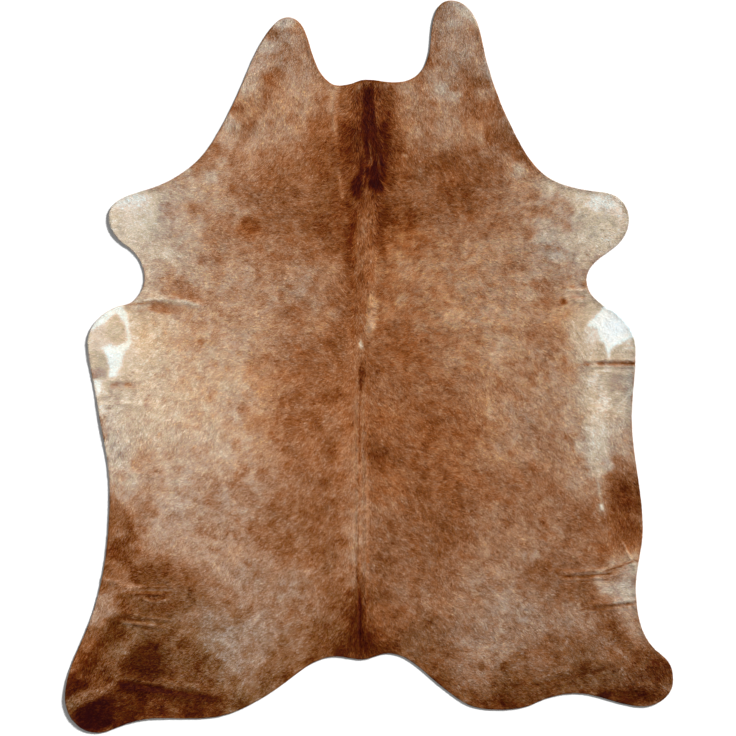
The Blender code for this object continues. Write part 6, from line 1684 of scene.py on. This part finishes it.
def crease_points(spacing):
    """Extra points across each wrinkle, so that its lips have their own."""
    found = []
    for name, kind, x0, y0, x1, y1, bow, height, width in FOLDS:
        length = math.hypot(x1 - x0, y1 - y0) * CM
        u = np.linspace(0.02, 0.98, max(int(length / spacing), 3))
        tx, ty = (x1 - x0) * CM / length, (y1 - y0) * CM / length
        lines = (-0.86, -0.58, -0.29, 0.0, 0.29, 0.58, 0.86) if kind == "valley" else (-0.8, -0.4, 0.0, 0.4, 0.8)
        for t in lines:
            aside = bow * CM * 4.0 * u * (1.0 - u) + t * width * CM
            found.append(np.stack([x0 * CM + u * length * tx - aside * ty,
                                   y0 * CM + u * length * ty + aside * tx], 1))
    points = np.vstack(found)
    return points[sample(INSIDE, points[:, 0], points[:, 1]) > 5 * MM]


def thinned(points, extra, gap):
    """The points that are further than gap from every extra one."""
    cell = 2 * gap
    taken = {}
    for x, y in extra:
        taken.setdefault((int(x // cell), int(y // cell)), []).append((x, y))
    keep = []
    for x, y in points:
        i, j = int(x // cell), int(y // cell)
        near = (p for a in (-1, 0, 1) for b in (-1, 0, 1) for p in taken.get((i + a, j + b), ()))
        if all((x - p[0]) ** 2 + (y - p[1]) ** 2 > gap * gap for p in near):
            keep.append((x, y))
    return np.array(keep)


def skin(loop, inner):
    """Triangles that fill the loop through the inner points."""
    points = [Vector(p) for p in np.vstack([loop, inner])]
    n = len(loop)
    edges = [(i, (i + 1) % n) for i in range(n)]
    verts, _, faces, source, _, _ = geometry.delaunay_2d_cdt(points, edges, [], 0, 1e-6, True)
    verts = np.array([(v.x, v.y) for v in verts])
    faces = np.array(faces)
    order = np.array([(s[0] if s else -1) for s in source])
    # Triangles between points of the rim alone may bridge a bay from outside.
    rim_only = (order[faces] < n).all(axis=1)
    middle = verts[faces[rim_only]].mean(axis=1)
    nxt = np.roll(loop, -1, axis=0)
    cross = (loop[:, 1] <= middle[:, 1:]) != (nxt[:, 1] <= middle[:, 1:])
    rise = np.where(nxt[:, 1] == loop[:, 1], 1e-12, nxt[:, 1] - loop[:, 1])
    at = loop[:, 0] + (middle[:, 1:] - loop[:, 1]) * (nxt[:, 0] - loop[:, 0]) / rise
    inside = (cross & (at > middle[:, :1])).sum(axis=1) % 2 == 1
    keep = np.ones(len(faces), bool)
    keep[np.nonzero(rim_only)[0][~inside]] = False
    return verts, faces[keep], order


def build_hide():
    """The tanned sheet: hair side, cut rim and suede underside, closed."""
    rng = np.random.default_rng(5)
    loop = even_loop(outline(40), RING)
    out = np.roll(loop, -1, 0) - np.roll(loop, 1, 0)
    out = np.stack([-out[:, 1], out[:, 0]], 1) / np.hypot(*out.T)[:, None]
    jag = np.convolve(np.tile(rng.standard_normal(len(loop)), 3), np.ones(5) / 5, "same")
    loop = loop + out * (0.5 * MM * jag[len(loop):2 * len(loop)])[:, None]
    inset = loop - out * np.sign(sample(INSIDE, *(loop - 4 * MM * out).T).mean()) * 2.4 * MM
    creases = crease_points(6.5 * MM)
    creases = creases[rng.permutation(len(creases))]
    field = lay_points(7.6 * MM, 6.5 * MM)
    field = field + rng.uniform(-1, 1, field.shape) * 0.9 * MM
    field = thinned(field, creases, 4.0 * MM)
    top, top_faces, top_from = skin(loop, np.vstack([inset, creases, field]))
    low_field = lay_points(15 * MM, 9 * MM)
    low_creases = creases[::2]
    low_field = thinned(low_field, low_creases, 9.0 * MM)
    low, low_faces, low_from = skin(loop, np.vstack([low_creases, low_field]))

    top_z = surface(top[:, 0], top[:, 1])
    low_z = fold_height(low[:, 0], low[:, 1]) + CURL * (1.0 - smooth(sample(INSIDE, low[:, 0], low[:, 1]) / (16 * MM)))
    n_ring = len(loop)
    top_at = np.zeros(n_ring, int)
    low_at = np.zeros(n_ring, int)
    top_at[top_from[(top_from >= 0) & (top_from < n_ring)]] = np.nonzero((top_from >= 0) & (top_from < n_ring))[0]
    low_at[low_from[(low_from >= 0) & (low_from < n_ring)]] = np.nonzero((low_from >= 0) & (low_from < n_ring))[0]
    low_at = low_at + len(top)

    verts = np.vstack([np.column_stack([top, top_z]), np.column_stack([low, low_z])])
    area = lambda p, f: 0.5 * np.cross(p[f[:, 1]] - p[f[:, 0]], p[f[:, 2]] - p[f[:, 0]])
    top_faces = np.where((area(top, top_faces) < 0)[:, None], top_faces[:, ::-1], top_faces)
    low_faces = np.where((area(low, low_faces) > 0)[:, None], low_faces[:, ::-1], low_faces) + len(top)
    nxt = np.roll(np.arange(n_ring), -1)
    rim = np.stack([top_at, top_at[nxt], low_at[nxt], low_at], 1)
    faces = np.concatenate([top_faces.ravel(), low_faces.ravel(), rim.ravel()])
    counts = np.concatenate([np.full(len(top_faces) + len(low_faces), 3), np.full(n_ring, 4)])
    kinds = np.concatenate([np.zeros(len(top_faces)), np.ones(len(low_faces)), np.full(n_ring, 2)])
    tones = sample(HAIR_TONE, verts[:, 0], verts[:, 1]) / 255.0
    tints = sample(TINT, verts[:, 0], verts[:, 1]) * 0.1 + 0.5
    verts[:, :2] += SHIFT
    hide = new_mesh("hide", verts, faces, counts)
    mesh = hide.data
    mesh.polygons.foreach_set("material_index", kinds.astype(np.int32))
    mesh.shade_smooth()
    store_coat(mesh, tones, tints, np.full(len(verts), 0.15), np.full(len(verts), 0.5))

    # Map for the finish: hair side left, underside right, rim along the foot.
    corner = verts[faces]
    u = (corner[:, 0] / 1.84 + 0.5) * 0.494 + 0.002
    v = (corner[:, 1] / 2.22 + 0.5) * 0.96 + 0.03
    low_corner = np.repeat(kinds, counts) == 1
    u = np.where(low_corner, 1.0 - u, u)
    rim_u = np.stack([np.arange(n_ring), np.arange(n_ring) + 1, np.arange(n_ring) + 1, np.arange(n_ring)], 1) / n_ring
    rim_v = np.tile((0.022, 0.022, 0.004, 0.004), (n_ring, 1))
    u[-4 * n_ring:], v[-4 * n_ring:] = rim_u.ravel() * 0.996 + 0.002, rim_v.ravel()
    store_map(mesh, "OFBake", u, v)
    return hide


def store_coat(mesh, tone, tint, along, chance):
    """Per-point facts for the materials: tone, tint, root-to-tip, chance."""
    data = np.column_stack([tone, tint, along, chance]).astype(np.float32)
    colours = mesh.attributes.new("coat", "FLOAT_COLOR", "POINT")
    colours.data.foreach_set("color", data.ravel())


def store_map(mesh, name, u, v):
    layer = mesh.uv_layers.new(name=name, do_init=False)
    layer.uv.foreach_set("vector", np.column_stack([u, v]).astype(np.float32).ravel())


def build_coat(name, count, seed, long, wide, high, wander, contrast, tone_shift):
    """One layer of the coat: locks of hair, each rooted in the leather."""
    rng = np.random.default_rng(seed)
    spacing = math.sqrt(HIDE_AREA / count)
    gx = np.arange(-HALF_X, HALF_X, spacing)
    gy = np.arange(-HALF_Y, HALF_Y, spacing)
    px, py = np.meshgrid(gx, gy)
    px = (px + rng.uniform(-0.5, 0.5, px.shape) * spacing).ravel()
    py = (py + rng.uniform(-0.5, 0.5, py.shape) * spacing).ravel()
    keep = sample(INSIDE, px, py) > 0.8 * MM
    px, py = px[keep], py[keep]
    if len(px) > count:
        keep = np.sort(rng.permutation(len(px))[:count])
        px, py = px[keep], py[keep]
    n = len(px)

    angle = np.arctan2(sample(GY, px, py), sample(GX, px, py))
    angle += np.radians(wander * rng.standard_normal(n) + 0.5 * wander * sample(CLUMP_TURN, px, py))
    length = sample(LENGTH, px, py) * long * rng.uniform(0.65, 1.25, n)
    width = wide * rng.uniform(0.7, 1.3, n) * (0.75 + 0.25 * length / COAT_LENGTH)
    dx, dy = np.cos(angle), np.sin(angle)
    # Locks that would reach past the cut edge are trimmed to it.
    past = np.maximum(0.6 * MM - sample(INSIDE, px + dx * length, py + dy * length), 0.0)
    length = np.maximum(length - 1.25 * past, 3.0 * MM)
    tip_x, tip_y = px + dx * length, py + dy * length
    root_z = surface(px, py) - 0.25 * MM
    stand = high * rng.uniform(0.45, 1.0, n) * (0.75 + 0.25 * np.clip(sample(CLUMP_LIFT, px, py), -1.5, 1.5))
    tip_z = np.maximum(surface(tip_x, tip_y) + np.clip(stand, 0.25 * MM, None), 0.4 * MM)
    over = sample(INSIDE, tip_x, tip_y) < 0.0
    tip_z = np.where(over, np.minimum(tip_z, root_z + 1.2 * MM), tip_z)

    roll = np.radians(13.0 * rng.standard_normal(n))
    side_x, side_y = -dy * np.cos(roll), dx * np.cos(roll)
    # Each lock leans with the leather that it grows on.
    across = (surface(px - dy * MM, py + dx * MM) - surface(px + dy * MM, py - dx * MM)) / (2 * MM)
    side_z = np.sin(roll) + np.clip(across, -0.6, 0.6)
    # The point halfway along each lock, where its colour is read.
    mid_x, mid_y = px + 0.5 * dx * length, py + 0.5 * dy * length
    mid_z = root_z + 0.72 * (tip_z - root_z)
    verts = np.empty((n, 3, 3))
    half = 0.5 * width
    verts[:, 0] = np.stack([px - half * side_x, py - half * side_y, root_z - half * side_z], 1)
    verts[:, 1] = np.stack([px + half * side_x, py + half * side_y, root_z + half * side_z], 1)
    verts[:, 2] = np.stack([tip_x, tip_y, tip_z], 1)
    verts[:, :, 0] += SHIFT[0]
    verts[:, :, 1] += SHIFT[1]
    verts[:, :, 2] = np.maximum(verts[:, :, 2], 0.3 * MM)

    own = contrast * (sample(HAIR_STREAKED, mid_x, mid_y) - sample(HAIR_TONE, mid_x, mid_y))
    chance = rng.random(n)
    # A few locks are much darker than their neighbours, none as much paler.
    stroke = 0.6 * rng.standard_normal(n) + 0.8 * (1.0 - rng.exponential(1.0, n))
    own += 18.5 * sample(ROOM * VARIETY, mid_x, mid_y) * np.clip(stroke, -3.2, 2.6)
    # The markings run through the locks, so each corner has the tone of its place.
    tone = sample(HAIR_TONE, np.stack([px, px, tip_x]), np.stack([py, py, tip_y])).T
    tone = np.clip(tone + tone_shift + own[:, None], 6.0, 248.0) / 255.0
    tint = sample(TINT, mid_x, mid_y) * 0.1 + 0.5 + 0.028 * rng.standard_normal(n)
    place = sample(HAIR_TONE, mid_x, mid_y)
    tint += 0.0050 * own * smooth((place - 95.0) / 45.0) * (1.0 - 0.9 * smooth((place - 135.0) / 40.0))
    coat = new_mesh(name, verts.reshape(-1, 3), np.arange(3 * n), np.full(n, 3))
    store_coat(coat.data, tone.ravel(), np.repeat(tint, 3),
               np.tile((0.0, 0.0, 1.0), n), np.repeat(chance, 3))
    flat = verts.reshape(-1, 3)
    store_map(coat.data, "OFBake", flat[:, 0] / 1.84 + 0.5, flat[:, 1] / 2.22 + 0.5)
    cell = np.floor(chance * 64.0)
    su = np.stack([cell, cell + 1.0, cell + 0.5], 1) * 0.37
    sv = np.tile((0.0, 0.0, 1.0), (n, 1)) + cell[:, None] * 0.61
    store_map(coat.data, "lock", su.ravel(), sv.ravel())
    return coat


# ------------------------------------------------------------------ materials
def linear(rgb):
    rgb = np.asarray(rgb, float) / 255.0
    return np.where(rgb <= 0.04045, rgb / 12.92, ((rgb + 0.055) / 1.055) ** 2.4)


class Graph:
    """A small helper that adds and links shader nodes."""

    def __init__(self, name):
        self.material = bpy.data.materials.new(name)
        self.material.use_nodes = True
        self.nodes = self.material.node_tree.nodes
        self.links = self.material.node_tree.links
        self.shader = self.nodes["Principled BSDF"]

    def add(self, kind, inputs=None, **facts):
        node = self.nodes.new(kind)
        for key, value in facts.items():
            setattr(node, key, value)
        for key, value in (inputs or {}).items():
            if isinstance(value, bpy.types.NodeSocket):
                self.links.new(value, node.inputs[key])
            else:
                node.inputs[key].default_value = value
        return node

    def math(self, operation, a, b=None, c=None, clamp=False):
        values = {i: v for i, v in enumerate((a, b, c)) if v is not None}
        return self.add("ShaderNodeMath", values, operation=operation, use_clamp=clamp).outputs[0]

    def vector(self, operation, a, b=None, c=None):
        values = {i: v for i, v in enumerate((a, b, c)) if v is not None}
        return self.add("ShaderNodeVectorMath", values, operation=operation).outputs[0]

    def noise(self, coords, scale, detail=2.0, roughness=0.5):
        return self.add("ShaderNodeTexNoise", {"Vector": coords, "Scale": scale, "Detail": detail,
                                               "Roughness": roughness}).outputs["Fac"]

    def ramp(self, factor, stops):
        node = self.add("ShaderNodeValToRGB", {"Fac": factor})
        band = node.color_ramp
        while len(band.elements) < len(stops):
            band.elements.new(0.5)
        for element, (place, colour) in zip(band.elements, stops):
            element.position = place
            element.color = (*colour, 1.0)
        return node.outputs["Color"]

    def set(self, **values):
        for key, value in values.items():
            socket = self.shader.inputs[key.replace("_", " ")]
            if isinstance(value, bpy.types.NodeSocket):
                self.links.new(value, socket)
            else:
                socket.default_value = value


def coat_stops():
    """The coat's own colours as ramp stops, in linear light."""
    return [(tone / 255.0, (r, g, b)) for tone, r, g, b in COAT_COLOURS]


def tinted(g, colour, tint):
    """Redder above 0.5, greyer below it."""
    amount = g.math("MULTIPLY", g.math("SUBTRACT", tint, 0.5), 10.0)
    push = g.add("ShaderNodeCombineXYZ", {
        "X": g.math("MULTIPLY_ADD", amount, 0.07, 1.0),
        "Y": g.math("MULTIPLY_ADD", amount, -0.04, 1.0),
        "Z": g.math("MULTIPLY_ADD", amount, -0.16, 1.0)}).outputs[0]
    return g.vector("MULTIPLY", colour, push)


def hair_material(name, shade):
    """Locks of hair: tone along a roan ramp, fine strands, and painted shade that darkens the roots."""
    g = Graph(name)
    facts = g.add("ShaderNodeAttribute", attribute_name="coat")
    parts = g.add("ShaderNodeSeparateColor", {"Color": facts.outputs["Color"]})
    tone, tint, along = (parts.outputs[k] for k in ("Red", "Green", "Blue"))
    lock = g.add("ShaderNodeUVMap", uv_map="lock").outputs["UV"]
    strands = g.noise(g.vector("MULTIPLY", lock, (22.0, 0.9, 1.0)), 1.0, 3.0, 0.6)
    place = g.add("ShaderNodeTexCoord").outputs["Object"]
    dust = g.noise(place, 900.0, 2.0, 0.6)
    lift = g.math("MULTIPLY_ADD", g.math("SUBTRACT", strands, 0.5), 0.14, tone)
    lift = g.math("MULTIPLY_ADD", g.math("SUBTRACT", dust, 0.5), 0.05, lift)
    # painted shade: each lock is darker towards its root and lighter towards its tip
    lift = g.math("MULTIPLY_ADD", g.math("SUBTRACT", along, 0.45), shade, lift, clamp=True)
    g.set(Base_Color=tinted(g, g.ramp(lift, coat_stops()), tint),
          Roughness=g.math("MULTIPLY_ADD", strands, 0.22, 0.5),
          Specular_IOR_Level=0.05)
    bump = g.add("ShaderNodeBump", {"Height": strands, "Strength": 0.35, "Distance": 0.0004})
    g.links.new(bump.outputs["Normal"], g.shader.inputs["Normal"])
    return g.material


def under_hair_material(name):
    """The leather's hair side between the locks: short dense underhair, painted a little darker as shade under the
    locks.
    """
    g = Graph(name)
    facts = g.add("ShaderNodeAttribute", attribute_name="coat")
    parts = g.add("ShaderNodeSeparateColor", {"Color": facts.outputs["Color"]})
    tone, tint = parts.outputs["Red"], parts.outputs["Green"]
    place = g.add("ShaderNodeTexCoord").outputs["Object"]
    stipple = g.noise(place, 620.0, 4.0, 0.7)
    tufts = g.noise(place, 150.0, 3.0, 0.6)
    lift = g.math("MULTIPLY_ADD", g.math("SUBTRACT", stipple, 0.5), 0.30, tone)
    lift = g.math("MULTIPLY_ADD", g.math("SUBTRACT", tufts, 0.5), 0.16, lift)
    # painted shade: the skin between the locks is darkened as if shaded by them
    lift = g.math("SUBTRACT", lift, 0.05, clamp=True)
    g.set(Base_Color=tinted(g, g.ramp(lift, coat_stops()), tint),
          Roughness=g.math("MULTIPLY_ADD", stipple, 0.3, 0.6),
          Specular_IOR_Level=0.05)
    bump = g.add("ShaderNodeBump", {"Height": stipple, "Strength": 0.7, "Distance": 0.0012})
    g.links.new(bump.outputs["Normal"], g.shader.inputs["Normal"])
    return g.material


def suede_material(name, light, dark, grain):
    """Bare tanned leather: the brushed underside, or the raw cut rim."""
    g = Graph(name)
    place = g.add("ShaderNodeTexCoord").outputs["Object"]
    clouds = g.noise(place, 5.0, 4.0, 0.55)
    nap = g.noise(place, grain, 4.0, 0.7)
    veins = g.noise(g.vector("MULTIPLY", place, (1.0, 2.6, 1.0)), 26.0, 5.0, 0.65)
    mix = g.math("MULTIPLY_ADD", clouds, 0.55, g.math("MULTIPLY", nap, 0.3))
    mix = g.math("MULTIPLY_ADD", veins, 0.25, mix)
    g.set(Base_Color=g.ramp(mix, [(0.34, dark), (0.56, tuple(0.5 * (np.array(dark) + light))), (0.8, light)]),
          Roughness=g.math("MULTIPLY_ADD", nap, 0.2, 0.75),
          Specular_IOR_Level=0.2, Sheen_Weight=0.25, Sheen_Roughness=0.6)
    bump = g.add("ShaderNodeBump", {"Height": g.math("ADD", nap, g.math("MULTIPLY", veins, 0.8)),
                                    "Strength": 0.6, "Distance": 0.0009})
    g.links.new(bump.outputs["Normal"], g.shader.inputs["Normal"])
    return g.material


# ------------------------------------------------------------------- assembly
CLUMP_TURN = drawn_out(noise(6 * MM, 111), GX, GY, X, Y, 4)
CLUMP_LIFT = drawn_out(noise(5 * MM, 121), GX, GY, X, Y, 4)
ROOM = room
HIDE_AREA = float((INSIDE > 0).sum()) * STEP * STEP

hide = build_hide()
hide.data.materials.append(under_hair_material("underhair_skin"))
hide.data.materials.append(suede_material("suede_underside", (0.62, 0.50, 0.37), (0.36, 0.26, 0.17), 700.0))
hide.data.materials.append(suede_material("cut_rim_leather", (0.34, 0.28, 0.22), (0.19, 0.15, 0.11), 1500.0))

# The tone shift paints the lower layers of locks darker and the upper ones lighter: painted shade deep in the coat.
# name, locks, seed, length x, width, tip height, wander, contrast, tone shift
COATS = (
    ("coat_under_a", 195000, 201, 0.90, 1.9 * MM, 1.1 * MM, 14.0, 0.8, -5.0),
    ("coat_under_b", 195000, 202, 1.00, 1.7 * MM, 1.4 * MM, 14.0, 1.0, -2.0),
    ("coat_over_a", 195000, 203, 1.05, 1.5 * MM, 1.7 * MM, 14.0, 1.1, 2.0),
    ("coat_over_b", 195000, 204, 1.15, 1.3 * MM, 2.0 * MM, 14.0, 1.2, 5.0),
)
coats = []
for row in COATS:
    coat = build_coat(*row)
    coat.data.materials.append(hair_material(row[0] + "_hair", 0.07))
    coats.append(coat)

for piece in [hide, *coats]:
    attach(piece, "root")
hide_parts("cowhide")

# ---------------------------------------------------- floor, lights and camera
FRAME_WIDTH = 736 * 3.0 * MM        # the view's width at the floor
LENS = 85.0


def build_floor():
    """A round pale studio floor, far wider than any view of the hide."""
    mesh = bpy.data.meshes.new("floor")
    ring = [(60.0 * math.cos(a), 60.0 * math.sin(a), -0.4 * MM)
            for a in np.linspace(0.0, 2.0 * math.pi, 96, endpoint=False)]
    mesh.from_pydata(ring, [], [range(96)])
    floor = bpy.data.objects.new("floor", mesh)
    bpy.context.scene.collection.objects.link(floor)
    g = Graph("floor_paint")
    place = g.add("ShaderNodeTexCoord").outputs["Object"]
    g.set(Base_Color=g.ramp(g.noise(place, 2.0), [(0.3, (0.86,) * 3), (0.7, (0.88,) * 3)]),
          Roughness=0.9, Specular_IOR_Level=0.0)
    mesh.materials.append(g.material)


def build_lights():
    world = bpy.data.worlds.new("studio")
    bpy.context.scene.world = world
    world.use_nodes = True
    nodes, links = world.node_tree.nodes, world.node_tree.links
    background = nodes["Background"]
    background.inputs["Color"].default_value = (1.0, 1.0, 1.0, 1.0)
    background.inputs["Strength"].default_value = 0.27
    seen = nodes.new("ShaderNodeBackground")
    seen.inputs["Color"].default_value = (1.0, 1.0, 1.0, 1.0)
    seen.inputs["Strength"].default_value = 1.05
    rays = nodes.new("ShaderNodeLightPath")
    mix = nodes.new("ShaderNodeMixShader")
    links.new(rays.outputs["Is Camera Ray"], mix.inputs["Fac"])
    links.new(background.outputs[0], mix.inputs[1])
    links.new(seen.outputs[0], mix.inputs[2])
    links.new(mix.outputs[0], nodes["World Output"].inputs["Surface"])
    lamp = bpy.data.lights.new("key", "SUN")
    lamp.energy = 6.6
    lamp.angle = math.radians(9.0)
    key = bpy.data.objects.new("key", lamp)
    toward = Vector((0.66, 0.56, 0.46))
    key.location = toward * 5.0
    key.rotation_euler = toward.to_track_quat("Z", "Y").to_euler()
    bpy.context.scene.collection.objects.link(key)


def build_camera():
    camera = bpy.data.cameras.new("photo_view")
    camera.lens = LENS
    camera.sensor_width = 36.0
    camera.clip_end = 200.0
    eye = bpy.data.objects.new("photo_view", camera)
    eye.location = (SHIFT[0] - 0.3 * CM, SHIFT[1] - 0.15 * CM, FRAME_WIDTH * LENS / 36.0)
    eye.rotation_euler = (0.0, 0.0, 0.0)
    bpy.context.scene.collection.objects.link(eye)
    bpy.context.scene.camera = eye


build_floor()
build_lights()
build_camera()
bpy.context.scene.view_settings.view_transform = "Standard"
bpy.context.scene.view_settings.look = "None"

bpy.context.view_layer.update()
